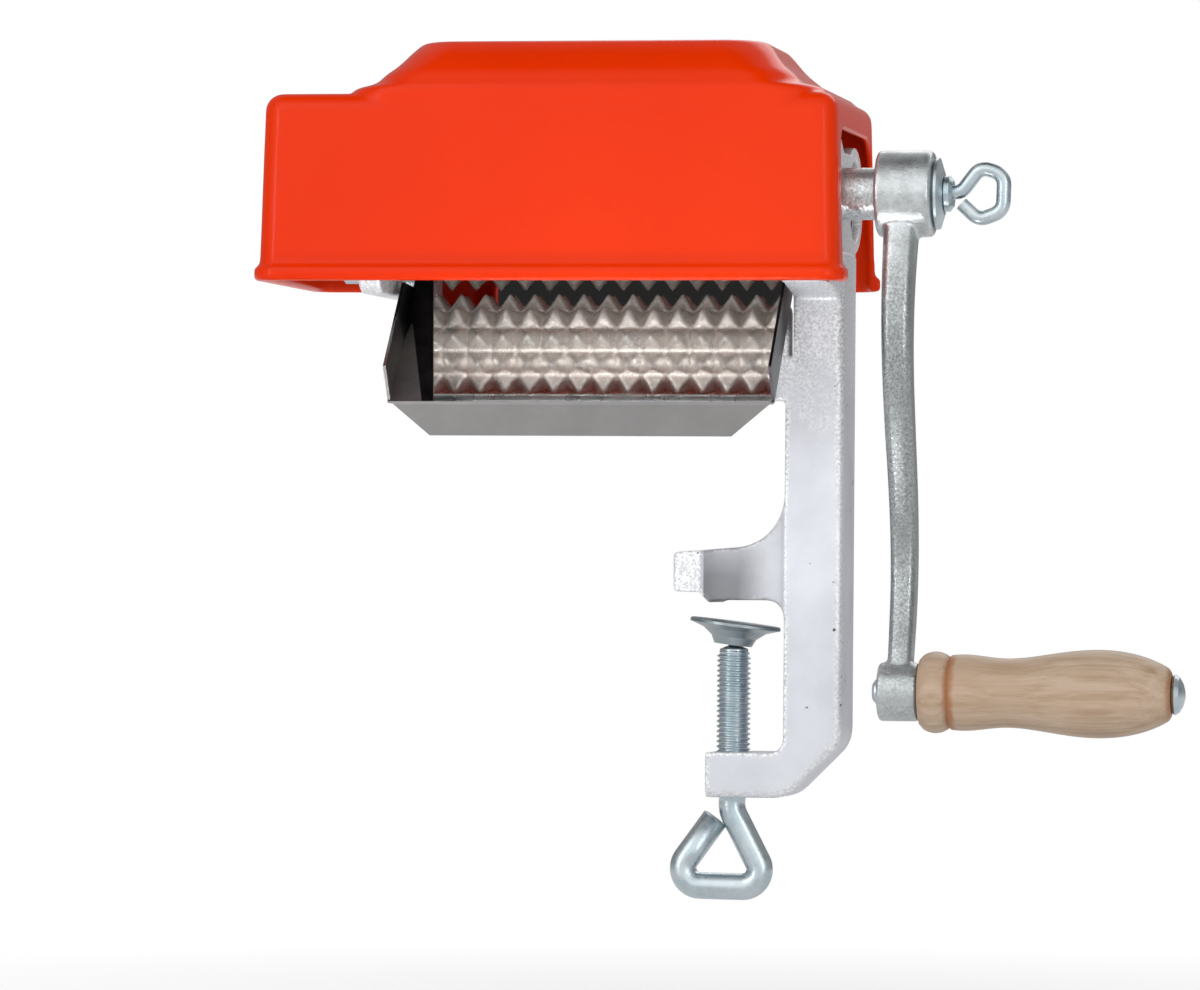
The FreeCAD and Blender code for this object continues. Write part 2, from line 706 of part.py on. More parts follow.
def left_bush(y):
    """Bush with a thin collar that keeps the gear off the plate."""
    sleeve = rod_x(left_plate_outer, left_plate_inner, y, axis_height, left_bush_radius - snug_fit)
    collar = rod_x(left_plate_outer - gear_gap + face_gap, left_plate_outer, y, axis_height,
                   left_bush_radius + 1.5)
    hole = rod_x(left_plate_outer - 5, left_plate_inner + 1, y, axis_height,
                 shaft_radius + turning_fit)
    return sleeve.fuse(collar).cut(hole).removeSplitter()


# Cover

def cover_body(inset):
    """Outside of the cover, or its inside when inset by the wall."""
    x_from, x_to = cover_left + inset, cover_right - inset
    half = cover_half - inset
    top = cover_top - inset
    bottom = cover_bottom - (1.0 if inset else 0.0)
    corner = cover_corner - inset
    low = rounded_rectangle(x_from, x_to, -half, half, bottom, corner)
    lean = cover_draft
    high = rounded_rectangle(x_from + lean, x_to - lean, -half + lean, half - lean, top, corner)
    shell = Part.makeLoft([low, high], True, True)
    shell = rounded(shell, cover_edge - inset, lambda e: e.BoundBox.ZMin > top - 0.01)
    return shell.fuse(hopper(inset)).removeSplitter()


def hopper(inset):
    """Raised feed hopper: S shaped ends, and long sides that rise flush out of the walls."""
    base = cover_top - inset
    rise = hopper_rise
    foot = cover_edge + 0.5
    steps = 6
    levels = [-foot, -1.0] + [rise * i / steps for i in range(steps + 1)]
    wires = []
    for level in levels:
        part = max(0.0, level) / rise
        end_ease = part * 0.55 + (1 - (1 - part) ** 3) * 0.45
        side_ease = part * 0.15 + part ** 2 * 0.85
        left = cover_left + hopper_left_shoulder + hopper_left_flank * end_ease + inset
        right = cover_right - hopper_right_shoulder - hopper_right_flank * end_ease - inset
        half = cover_half - hopper_front_shoulder - hopper_side_flank * side_ease - inset
        radius = hopper_corner - inset
        wires.append(rounded_rectangle(left, right, -half, half, base + level, radius))
    dome = Part.makeLoft(wires, True, False)
    return rounded(dome, hopper_edge - inset, lambda e: e.BoundBox.ZMin > base + rise - 0.01)


def arch_cutter():
    """Opening in the right wall, open at the rim, that goes over the end plate."""
    top = axis_height + front_lobe_radius + face_gap
    x = cover_right - 12
    front, rear = -arch_front, arch_rear
    low = cover_bottom - 5

    def round_corner(y, radius, side):
        bulge = radius * (1 - math.sqrt(0.5))
        return [Vec(x, y, top - radius), Vec(x, y + side * bulge, top - bulge),
                Vec(x, y + side * radius, top)]

    front_points = round_corner(front, arch_round * 0.6, 1)
    rear_points = round_corner(rear, arch_round, -1)
    low_front, low_rear = Vec(x, front, low), Vec(x, rear, low)
    edges = [Part.makeLine(low_front, front_points[0]), Part.Arc(*front_points).toShape(),
             Part.makeLine(front_points[2], rear_points[2]),
             Part.Arc(*reversed(rear_points)).toShape(), Part.makeLine(rear_points[0], low_rear),
             Part.makeLine(low_rear, low_front)]
    return Part.Face(Part.Wire(edges)).extrude(Vec(20, 0, 0))


def cover_shell():
    """Moulded cover: walls, hopper, feed slot, flared rim and the arch for the frame."""
    outside = cover_body(0.0)
    flare = rim_flare
    band = rounded_rectangle(cover_left - flare, cover_right + flare, -cover_half - flare,
                             cover_half + flare, cover_bottom, cover_corner + flare)
    rim = Part.Face(band).extrude(Vec(0, 0, rim_height))
    rim = rounded(rim, 0.8, lambda e: e.BoundBox.ZLength < 0.01)
    feed_middle = (cover_left + hopper_left_shoulder + hopper_left_flank + cover_right
                   - hopper_right_shoulder - hopper_right_flank) / 2
    half_length = feed_length / 2
    half_width = feed_width / 2
    top = cover_top + hopper_rise

    def slot_wire(grow, z):
        return rounded_rectangle(feed_middle - half_length - grow, feed_middle + half_length + grow,
                                 -half_width - grow, half_width + grow, z, half_width * 0.8 + grow)

    lip = Part.Face(slot_wire(cover_wall, top - feed_lip)).extrude(Vec(0, 0, feed_lip - 1))
    slot = Part.Face(slot_wire(0, top - feed_lip - 5)).extrude(Vec(0, 0, feed_lip + 10))
    shell = outside.fuse(rim).cut(cover_body(cover_wall)).fuse(lip)
    return shell.cut([slot, arch_cutter()]).removeSplitter()


# Crank, eye screw and grip

def crank_arm():
    """Cast crank: hub with a square hole, S shaped arm and grip hub."""
    hub = rod_x(crank_left, crank_right, front_axis, axis_height, crank_hub_radius)
    hub = rounded(hub, 1.6, lambda e: not straight(e) and e.BoundBox.XLength < 0.01)
    low_hub = rod_x(crank_middle - grip_hub_length / 2, crank_middle + grip_hub_length / 2,
                    front_axis, grip_axis_height, grip_hub_radius)
    low_hub = rounded(low_hub, 1.2, lambda e: e.BoundBox.XLength < 0.01)
    sections = []
    count = 12
    top = axis_height - crank_hub_radius * 0.35
    bottom = grip_axis_height + grip_hub_radius * 0.35
    for i in range(count + 1):
        part = i / count
        z = top + (bottom - top) * part
        bend = crank_sweep * math.sin(2 * math.pi * part)
        y = front_axis - bend
        slant = math.atan2(crank_sweep * 2 * math.pi * math.cos(2 * math.pi * part), top - bottom)
        width = crank_arm_top + (crank_arm_bottom - crank_arm_top) * part
        breadth = crank_arm_breadth * (1 + 0.35 * (1 - part) ** 6)
        corner = width * 0.32
        wire = rounded_rectangle(-width / 2, width / 2, -breadth / 2, breadth / 2, 0, corner)
        wire.rotate(Vec(0, 0, 0), along_x, -math.degrees(slant))
        wire.translate(Vec(crank_middle, y, z))
        sections.append(wire)
    arm = Part.makeLoft(sections, True, False)
    crank = hub.fuse([arm, low_hub])
    side = tang_half + snug_fit
    tang_hole = block(crank_left - 1, crank_right + 1, front_axis - side, front_axis + side,
                      axis_height - side, axis_height + side)
    pin_hole = rod_x(crank_middle - 20, crank_middle + 20, front_axis, grip_axis_height,
                     pin_radius + snug_fit)
    return crank.cut([tang_hole, pin_hole])


def eye_washer():
    """Dished washer under the eye screw."""
    x = crank_right
    wall = 1.6
    hole = eye_thread_radius + turning_fit
    outline = [(x, eye_washer_radius - 1.2), (x + 0.9, eye_washer_radius), (x + 1.8, eye_washer_radius),
               (x + eye_washer_height, hole + 3.4), (x + eye_washer_height, hole),
               (x + eye_washer_height - wall, hole), (x + eye_washer_height - wall, hole + 2.6),
               (x, eye_washer_radius - 3.0)]
    return revolved_x(outline, front_axis, axis_height)


def eye_screw():
    """Screw in the shaft's end, bent out of wire into a drop shaped eye."""
    x = crank_right + eye_washer_height
    y, z = front_axis, axis_height
    shank = rod_x(crank_right - eye_thread_length, x + 0.6, y, z, eye_thread_radius)
    collar = revolved_x([(x + face_gap, 0), (x + face_gap, 6.2), (x + 2.0, 6.2), (x + 3.2, 4.6),
                         (x + 3.2, 0)], y, z)
    half = eye_width / 2 - eye_wire_radius
    far = x + eye_length - eye_wire_radius
    start = x + 2.0
    corners = [(Vec(start, y, z + 0.2), 0), (Vec(start + 4.0, y, z + 0.8), 4.0),
               (Vec(far - 7.5, y, z + half + 1.2), 4.5), (Vec(far + 0.6, y, z + half - 1.5), 5.0),
               (Vec(far + 0.2, y, z - half + 2.0), 5.0), (Vec(far - 8.0, y, z - half - 1.0), 4.5),
               (Vec(start + 4.0, y, z - 3.4), 0)]
    return shank.fuse([collar, wire_rod(corners, eye_wire_radius)])


def handle_pin():
    """Pin riveted into the crank, with a mushroom head beyond the grip."""
    y, z = front_axis, grip_axis_height
    left = crank_middle - grip_hub_length / 2
    grip_end = crank_middle + grip_hub_length / 2 + face_gap + grip_length
    head = grip_end + face_gap
    outline = [(left - rivet_height, 0), (left - rivet_height, rivet_radius * 0.6),
               (left - rivet_height * 0.55, rivet_radius * 0.93), (left, rivet_radius),
               (left, pin_radius), (head, pin_radius), (head, pin_head_radius * 0.92),
               (head + 0.8, pin_head_radius), (head + pin_head_height * 0.55, pin_head_radius * 0.86),
               (head + pin_head_height * 0.85, pin_head_radius * 0.55),
               (head + pin_head_height, pin_head_radius * 0.2), (head + pin_head_height, 0)]
    return revolved_x(outline, y, z)


def handle_grip():
    """Turned wooden grip: bead, groove, waist, belly and rounded end."""
    y, z = front_axis, grip_axis_height
    x = crank_middle + grip_hub_length / 2 + face_gap
    bore = pin_radius + turning_fit + 0.05
    end = x + grip_length
    bead = grip_bead_length
    rest = grip_length - bead

    def at(px, radius):
        return Vec(px, y, z + radius)

    bead_curve = Part.Arc(at(x + 1.2, grip_bead_radius - 1.3), at(x + bead * 0.52, grip_bead_radius),
                          at(x + bead - 0.6, grip_bead_radius - 1.2)).toShape()
    body = Part.BSplineCurve()
    body.interpolate([at(x + bead + 1.0, 12.8), at(x + bead + rest * 0.06, 13.1),
                      at(x + bead + rest * 0.24, grip_waist_radius),
                      at(x + bead + rest * 0.45, 13.4),
                      at(x + bead + rest * 0.66, grip_belly_radius),
                      at(x + bead + rest * 0.86, 13.2),
                      at(end - 2.0, grip_end_radius)])
    body = body.toShape()
    groove = at(x + bead + 0.2, 12.2)
    edges = [Part.makeLine(at(x, bore), at(x, grip_bead_radius - 2.6)),
             Part.makeLine(at(x, grip_bead_radius - 2.6), at(x + 1.2, grip_bead_radius - 1.3)),
             bead_curve, Part.makeLine(at(x + bead - 0.6, grip_bead_radius - 1.2), groove),
             Part.makeLine(groove, at(x + bead + 1.0, 12.8)), body,
             Part.Arc(at(end - 2.0, grip_end_radius), at(end - 0.5, grip_end_radius - 1.4),
                      at(end, grip_end_radius - 3.2)).toShape(),
             Part.makeLine(at(end, grip_end_radius - 3.2), at(end, bore)),
             Part.makeLine(at(end, bore), at(x, bore))]
    face = Part.Face(Part.Wire(Part.__sortEdges__(edges)))
    return face.revolve(Vec(0, y, z), along_x, 360)


# Table clamp

def clamp_screw():
    """Threaded rod with a ball nose, its lower end bent into a triangular eye."""
    thread_top = pad_top - pad_height - pad_to_thread
    thread_low = lower_arm_bottom + 1.0
    outline = [(0, nose_centre), (nose_neck_radius, nose_centre),
               (nose_neck_radius, thread_top + 1.2), (screw_radius - thread_depth, thread_top)]
    turns = int((thread_top - 1.0 - thread_low) / thread_pitch)
    for i in range(turns):
        z = thread_top - 0.6 - i * thread_pitch
        outline += [(screw_radius - thread_depth, z), (screw_radius, z - thread_pitch * 0.42),
                    (screw_radius, z - thread_pitch * 0.56)]
    outline += [(screw_radius - thread_depth, thread_low), (0, thread_low)]
    body = revolved_z(outline)
    nose = Part.makeSphere(screw_nose_radius, Vec(0, 0, nose_centre))
    low = lower_arm_bottom
    corners = [(Vec(0, 0, thread_low + 2), 0), (Vec(-0.5, 0, low - 4.5), 9.0),
               (Vec(13.5, 0, low - 31.5), 6.0), (Vec(-23.0, 0, low - 31.0), 6.0),
               (Vec(-6.2, 0, low - 7.8), 0)]
    eye = wire_rod(corners, eye_rod_radius)
    return body.fuse([nose, eye])


def clamp_pad():
    """Swivel pad on the screw's ball nose, leaning a little to one side."""
    low = pad_top - pad_height
    outline = [(0, pad_top), (pad_radius - 0.5, pad_top), (pad_radius, pad_top - 0.4),
               (pad_radius, pad_top - pad_rim), (pad_radius * 0.7, pad_top - pad_height * 0.36),
               (pad_radius * 0.5, pad_top - pad_height * 0.66),
               (pad_hub_radius, low), (0, low)]
    pad = revolved_z(outline)
    ball = Part.makeSphere(screw_nose_radius + pad_play, Vec(0, 0, nose_centre))
    throat = screw_nose_radius + pad_throat_play
    opening = Part.makeCone(throat + 1.0, throat, nose_centre - low + 1, Vec(0, 0, low - 1))
    pad = pad.cut([ball, opening])
    pad.rotate(Vec(0, 0, nose_centre), along_y, pad_tilt)
    return pad


def pad_ring():
    """Wire snap ring round the neck, inside the pad's opening."""
    drop = math.sqrt(screw_nose_radius ** 2 - nose_neck_radius ** 2) + ring_wire_radius
    return Part.makeTorus(nose_neck_radius + ring_play + ring_wire_radius, ring_wire_radius,
                          Vec(0, 0, nose_centre - drop), along_z)


def parts():
    """Every sub-part by its name."""
    front, rear = front_axis, rear_axis
    neck_end = crank_left
    yield "frame_casting", frame_casting()
    yield "left_end_plate", left_end_plate()
    yield "tie_rod_front_low", tie_rod(front_low_rod)
    yield "tie_rod_front_top", tie_rod(front_top_rod)
    yield "tie_rod_tray", tie_rod(tray_rod)
    yield "tie_rod_nuts", tie_rod_nuts()
    yield "drive_bush_right", right_bush(front)
    yield "driven_bush_right", right_bush(rear)
    yield "drive_bush_left", left_bush(front)
    yield "driven_bush_left", left_bush(rear)
    yield "drive_shaft", shaft(front, neck_end, True)
    yield "driven_shaft", shaft(rear, plate_outer - right_bush_recess + 0.5, False)
    yield "drive_roller", toothed_roller(front, front_row_turn, 1)
    yield "driven_roller", toothed_roller(rear, 0.0, 0.5)
    yield "drive_gear", gear(front, 0.0)
    yield "driven_gear", gear(rear, 180.0 + 180.0 / gear_teeth)
    yield "drive_gear_key", key(front)
    yield "driven_gear_key", key(rear)
    yield "drive_gear_washer", gear_washer(front)
    yield "driven_gear_washer", gear_washer(rear)
    yield "drive_gear_nut", gear_nut(front)
    yield "driven_gear_nut", gear_nut(rear)
    yield "cover_shell", cover_shell()
    yield "exit_tray", exit_tray()
    yield "crank_arm", crank_arm()
    yield "eye_washer", eye_washer()
    yield "eye_screw", eye_screw()
    yield "handle_pin", handle_pin()
    yield "handle_grip", handle_grip()
    yield "clamp_screw", clamp_screw()
    yield "clamp_pad", clamp_pad()
    yield "pad_ring", pad_ring()


os.makedirs("parts", exist_ok=True)
for node, shape in parts():
    save(node, shape)
    print(node, "solids", len(shape.Solids), "valid", shape.isValid(), "volume", round(shape.Volume))
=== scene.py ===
import math

import bmesh
import bpy
import numpy
from bpy.props import FloatProperty, FloatVectorProperty, IntProperty, PointerProperty
from mathutils import Matrix, Vector


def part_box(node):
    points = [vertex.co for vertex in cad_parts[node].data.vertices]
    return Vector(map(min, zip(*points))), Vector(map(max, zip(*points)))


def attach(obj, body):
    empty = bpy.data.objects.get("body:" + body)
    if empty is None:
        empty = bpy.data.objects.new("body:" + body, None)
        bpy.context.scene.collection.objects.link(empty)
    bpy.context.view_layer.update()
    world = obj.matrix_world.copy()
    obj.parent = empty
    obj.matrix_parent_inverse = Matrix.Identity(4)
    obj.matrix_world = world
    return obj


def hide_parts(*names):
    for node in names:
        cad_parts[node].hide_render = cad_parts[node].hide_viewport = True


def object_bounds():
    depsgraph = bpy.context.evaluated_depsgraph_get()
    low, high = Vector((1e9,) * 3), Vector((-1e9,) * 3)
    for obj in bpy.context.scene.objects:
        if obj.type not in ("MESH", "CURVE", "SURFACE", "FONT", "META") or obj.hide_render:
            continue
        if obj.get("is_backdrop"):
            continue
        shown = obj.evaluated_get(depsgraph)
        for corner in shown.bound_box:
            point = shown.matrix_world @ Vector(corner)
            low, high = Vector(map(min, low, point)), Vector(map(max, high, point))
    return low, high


bl_info = {
    "name": "Crank Meat Tenderizer",
    "version": (1, 0, 0),
    "blender": (4, 5, 0),
    "location": "View3D > Sidebar > Tenderizer",
    "description": "Dresses the crank meat tenderizer's frame with its castings, plating, plastic and wood",
    "category": "Object",
}

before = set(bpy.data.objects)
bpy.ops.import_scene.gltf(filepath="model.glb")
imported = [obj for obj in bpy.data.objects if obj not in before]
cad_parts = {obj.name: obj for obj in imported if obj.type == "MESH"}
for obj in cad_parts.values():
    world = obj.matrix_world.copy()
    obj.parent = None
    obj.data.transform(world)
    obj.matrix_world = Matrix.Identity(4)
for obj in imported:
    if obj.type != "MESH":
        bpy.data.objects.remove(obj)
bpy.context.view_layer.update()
MM = 0.001

# Sizes of the solids, at which a finish or a painted reflection changes; the tray's are taken along its
# sloping sheet
BEAD_LENGTH = 10.9 * MM
LIP_HEIGHT = 11.0 * MM
SHEET_SLOPE = 0.7071
SHEET_RISE = 108.6 * MM
GUSSET_START = 58.7 * MM
GUSSET_LENGTH = 40.7 * MM

# How far the clamp screw reaches below its place at rest
CLAMP_TRAVEL = 37.0 * MM


# Shader maths

class Link:
    """A socket of a shader that takes part in Python expressions."""

    def __init__(self, shader, socket):
        self.shader = shader
        self.socket = socket

    def __add__(self, other):
        return self.shader.maths("ADD", self, other)

    def __sub__(self, other):
        return self.shader.maths("SUBTRACT", self, other)

    def __mul__(self, other):
        return self.shader.maths("MULTIPLY", self, other)


class Graph:
    """A node tree that is written as Python expressions."""

    def __init__(self, tree):
        self.tree = tree
        tree.nodes.clear()

    def node(self, kind, settings=None, inputs=None, output=0):
        """Adds any node: its settings first, then the values or links of its sockets."""
        made = self.tree.nodes.new(kind)
        for setting, value in (settings or {}).items():
            setattr(made, setting, value)
        for socket, value in (inputs or {}).items():
            if isinstance(value, Link):
                self.tree.links.new(value.socket, made.inputs[socket])
            else:
                made.inputs[socket].default_value = value
        return Link(self, made.outputs[output]) if output is not None else None

    def maths(self, operation, first, second=0.0):
        """One step of arithmetic; ABSOLUTE leaves the second value aside."""
        return self.node("ShaderNodeMath", {"operation": operation}, {0: first, 1: second})

    def axis(self, vector, index):
        """One part of a vector: 0 is X, 1 is Y and 2 is Z."""
        return self.node("ShaderNodeSeparateXYZ", {}, {0: vector}, index)

    def spread(self, value, low, high, to_low=0.0, to_high=1.0):
        """Maps a value's range to another, clamped."""
        return self.node("ShaderNodeMapRange", {"clamp": True},
                         {"Value": value, "From Min": low, "From Max": high,
                          "To Min": to_low, "To Max": to_high})


class Shader(Graph):
    """A material with one principled surface."""

    def __init__(self, name, **constants):
        self.material = bpy.data.materials.new(name)
        self.material.use_nodes = True
        super().__init__(self.material.node_tree)
        self.surface = self.tree.nodes.new("ShaderNodeBsdfPrincipled")
        output = self.tree.nodes.new("ShaderNodeOutputMaterial")
        self.tree.links.new(self.surface.outputs[0], output.inputs["Surface"])
        self.place = self.node("ShaderNodeTexCoord", output="Object")
        for socket, value in constants.items():
            self.surface.inputs[socket.replace("_", " ")].default_value = value

    def set(self, socket, value):
        """Feeds a varying value to the surface."""
        self.tree.links.new(value.socket, self.surface.inputs[socket])

    def axes(self):
        """The place on the piece along X, Y and Z, in metres."""
        return [self.axis(self.place, index) for index in range(3)]

    def edge(self):
        """The attribute edge of the mesh, from 0 to 1."""
        return self.node("ShaderNodeAttribute", {"attribute_name": "edge"}, output="Fac")

    def stretched(self, stretch):
        """The place on the piece, squeezed along the axes in which a pattern runs on."""
        if not stretch:
            return self.place
        return self.node("ShaderNodeMapping", {}, {"Vector": self.place, "Scale": stretch})

    def noise(self, scale, detail=3.0, roughness=0.6, stretch=None, distortion=0.0):
        """Noise over the piece, in lumps of about 1 / scale metres."""
        return self.node("ShaderNodeTexNoise", {},
                         {"Vector": self.stretched(stretch), "Scale": scale, "Detail": detail,
                          "Roughness": roughness, "Distortion": distortion})

    def ragged(self, scale, reach):
        """Noise on both sides of zero, which makes a border uneven."""
        return (self.noise(scale) - 0.5) * reach

    def cells(self, scale, stretch=None):
        """Distance to the nearest of scattered points."""
        return self.node("ShaderNodeTexVoronoi", {},
                         {"Vector": self.stretched(stretch), "Scale": scale}, "Distance")

    def mix(self, factor, first, second):
        """Blend of two colours, by the mix node's sockets for colours: 6, 7 and output 2."""
        def full(colour):
            return colour if isinstance(colour, Link) else (*colour, 1.0)
        return self.node("ShaderNodeMix", {"data_type": "RGBA"},
                         {0: factor, 6: full(first), 7: full(second)}, 2)

    def bump(self, height, distance, strength=1.0, under=None):
        """Normal that follows a height, on top of the finer bump under it."""
        inputs = {"Height": height, "Distance": distance, "Strength": strength}
        if under:
            inputs["Normal"] = under
        return self.node("ShaderNodeBump", {}, inputs)


def shaded(colour, *factors):
    """Colour times one factor, or times a factor for each channel, with no channel over 1."""
    if len(factors) == 1:
        factors = factors * 3
    return tuple(min(1.0, channel * factor) for channel, factor in zip(colour, factors))


def dress(node, shader):
    """Gives a carried-over piece its material."""
    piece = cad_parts[node]
    piece.data.materials.clear()
    piece.data.materials.append(shader.material)


# Finishes

def grain_and_chips(made, colour, grainy, depth, chips):
    """Colour of a cast skin: pale and dark grains where grainy is 1, tone clouds, small dark chips."""
    fine = made.noise(1100.0, 2.0, 0.6)
    broad = made.noise(45.0, 4.0, 0.6)
    pale = tuple(min(1.0, channel * 1.3 + 0.06) for channel in colour)
    grains = made.mix(made.spread(fine, 0.36, 0.64), shaded(colour, depth), pale)
    clouds = made.mix(made.spread(broad, 0.35, 0.68), shaded(colour, 0.88), colour)
    skin = made.mix(grainy, clouds, grains)
    if chips:
        chip = made.spread(made.noise(260.0, 2.0, 0.5), chips, chips + 0.03)
        skin = made.mix(chip, skin, shaded(colour, 0.12))
    return skin, fine


def cast_finish(name, colour, grainy, grain, metallic, roughness, depth=0.55, chips=0.0, tone=None):
    """Sand cast metal: smooth flats, a coarse skin where grainy(made) says, retoned by tone: painted shade
    on the jaw's web, painted highlight lines on the rollers, brighter hubs on the crank.
    """
    made = Shader(name)
    made.surface.inputs["Metallic"].default_value = metallic
    rough = grainy(made)
    skin, fine = grain_and_chips(made, colour, rough, depth, chips)
    if tone:
        skin = tone(made, skin, colour)
    made.set("Base Color", skin)
    made.set("Roughness", made.spread(fine + rough * 0.3, 0.3, 1.0, roughness + 0.1, roughness - 0.1))
    pits = fine * 0.7 + made.cells(1500.0) * 0.3
    pitted = made.bump(pits * made.spread(rough, 0.0, 1.0, 0.25, 1.0), grain * MM, 0.6)
    made.set("Normal", made.bump(made.noise(190.0), grain * 2.0 * MM, 0.35, pitted))
    return made


def frame_grain(made):
    """Coarse on edges, round the tray's lug and on the jaw's tip; smooth on the column's flats."""
    lug_zone, tip_zone = (48.0 * MM, 85.0 * MM), (-8.5 * MM, -10.0 * MM)
    across, _, height = made.axes()
    ragged = made.noise(70.0) - 0.5
    upper = made.spread(height + ragged * (60.0 * MM), *lug_zone)
    tip = made.spread(across + ragged * MM, *tip_zone)
    return made.spread(made.edge() * 1.2 + upper * 0.62 + tip + ragged * 0.5, 0.18, 0.9)


def jaw_shade(made, skin, colour):
    """Painted shade on the jaw's web under the arch: its skin is darkened where the hollow web faces away
    from the light.
    """
    column_side, tip_side = (18.5 * MM, 4.0 * MM), (-8.4 * MM, -8.0 * MM)
    arch_side, under_side = (30.0 * MM, 8.0 * MM), (-11.0 * MM, -9.0 * MM)
    across, _, height = made.axes()
    ragged = made.ragged(60.0, 6.0 * MM)
    web = made.spread(across + ragged, *column_side) * made.spread(across, *tip_side)
    web = web * made.spread(height + ragged, *arch_side) * made.spread(height, *under_side)
    # Painted shade: the web is mixed toward a far darker copy of the casting's colour
    return made.mix(web * 0.95, skin, shaded(colour, 0.3))


def bright_hubs(made, skin, colour):
    """The crank's two hubs are rubbed brighter than its arm."""
    upper_hub, lower_hub = (108.0 * MM, 126.0 * MM), (-12.0 * MM, -22.0 * MM)
    _, _, height = made.axes()
    hubs = made.maths("MAXIMUM", made.spread(height, *upper_hub), made.spread(height, *lower_hub) * 0.6)
    patchy = made.spread(made.noise(150.0), 0.35, 0.6, 0.35, 1.0)
    return made.mix(hubs * patchy, skin, shaded(colour, 1.9))


def painted_groove_highlights(made, skin, colour):
    """Painted highlight lines along the bottoms of a roller's grooves, brownish hollows beside them."""
    brownish, painted_highlight = shaded(colour, 0.5, 0.42, 0.37), (1.0, 0.97, 0.92)
    groove = made.edge()
    hollow = made.mix(made.spread(groove, 0.0, 0.5, 0.0, 0.35), skin, brownish)
    # Painted highlight: a near white line where the groove mark is high
    return made.mix(made.spread(groove, 0.78, 0.95), hollow, painted_highlight)


def even_grain(made):
    """Grain all over, in loose patches."""
    return made.spread(made.noise(90.0), 0.25, 0.6, 0.35, 0.95)


def plated_finish(name, colour, roughness, streak):
    """Bright zinc: cool grey with cloudy passivation and fine drawing lines."""
    made = Shader(name)
    made.surface.inputs["Metallic"].default_value = 1.0
    cloud = made.noise(130.0, 4.0, 0.6)
    lines = made.noise(520.0, 2.0, 0.6, stretch=streak)
    cool = shaded(colour, 0.76, 0.82, 0.86)
    made.set("Base Color", made.mix(made.spread(cloud, 0.35, 0.68), cool, colour))
    made.set("Roughness", made.spread(cloud + lines, 0.7, 1.3, roughness - 0.05, roughness + 0.1))
    made.set("Normal", made.bump(lines, 0.004 * MM, 0.3))
    return made


def cover_finish(colours):
    """Glossy moulded plastic with faint flow marks and dust."""
    made = Shader("moulded_orange", Specular_IOR_Level=0.15)
    made.surface.inputs["IOR"].default_value = 1.49
    flow = made.noise(9.0, 2.0, 0.4, stretch=(1.0, 1.0, 0.35))
    dust = made.noise(900.0, 4.0, 0.7)
    base = tuple(colours.cover)
    deep = shaded(base, 0.93, 0.8, 0.8)
    made.set("Base Color", made.mix(made.spread(flow, 0.35, 0.65), deep, base))
    made.set("Roughness", made.spread(dust * 0.6 + flow * 0.4, 0.3, 0.7, 0.17, 0.28))
    texture = made.bump(dust, 0.008 * MM, 0.15)
    made.set("Normal", made.bump(flow, 0.25 * MM, 0.25, texture))
    return made


def wood_finish(colours, groove, end):
    """Lacquered beech: fine long grain, short flecks, a stained groove and a darker, browner far end."""
    made = Shader("lacquered_beech", Specular_IOR_Level=0.3)
    made.surface.inputs["Coat Roughness"].default_value = 0.3
    made.surface.inputs["Coat Weight"].default_value = 0.15
    long_grain = made.noise(330.0, 5.0, 0.7, stretch=(0.035, 1.0, 1.0), distortion=0.15)
    bands = made.noise(45.0, 3.0, 0.5, stretch=(0.12, 1.0, 1.0))
    flecks = made.cells(800.0, stretch=(0.10, 1.0, 1.0))
    light = tuple(colours.wood)
    warm, rosy = shaded(light, 0.80, 0.70, 0.58), shaded(light, 1.04, 0.92, 0.86)
    grain = made.mix(made.spread(long_grain, 0.34, 0.66), warm, shaded(light, 1.18))
    banded = made.mix(made.spread(bands, 0.4, 0.62) * 0.6, grain, rosy)
    fleck = made.spread(flecks, 0.0, 0.14, 1.0, 0.0) * 0.4
    flecked = made.mix(fleck, banded, shaded(warm, 0.62, 0.5, 0.42))
    along = made.axis(made.place, 0)
    ragged = made.ragged(300.0, 2.2 * MM)
    from_groove = made.maths("ABSOLUTE", along - groove + ragged)
    # A stained groove, and the far end darkened toward the same brown
    groove_stain_and_darker_end = made.maths("MAXIMUM", made.spread(from_groove, 2.2 * MM, 0.6 * MM),
                       made.spread(along + ragged, end - 1.8 * MM, end - 0.4 * MM))
    made.set("Base Color", made.mix(groove_stain_and_darker_end * 0.85, flecked, shaded(light, 0.72, 0.36, 0.17)))
    made.set("Roughness", made.spread(long_grain, 0.3, 0.7, 0.36, 0.52))
    made.set("Normal", made.bump(long_grain + fleck * -0.5, 0.05 * MM, 0.4))
    return made


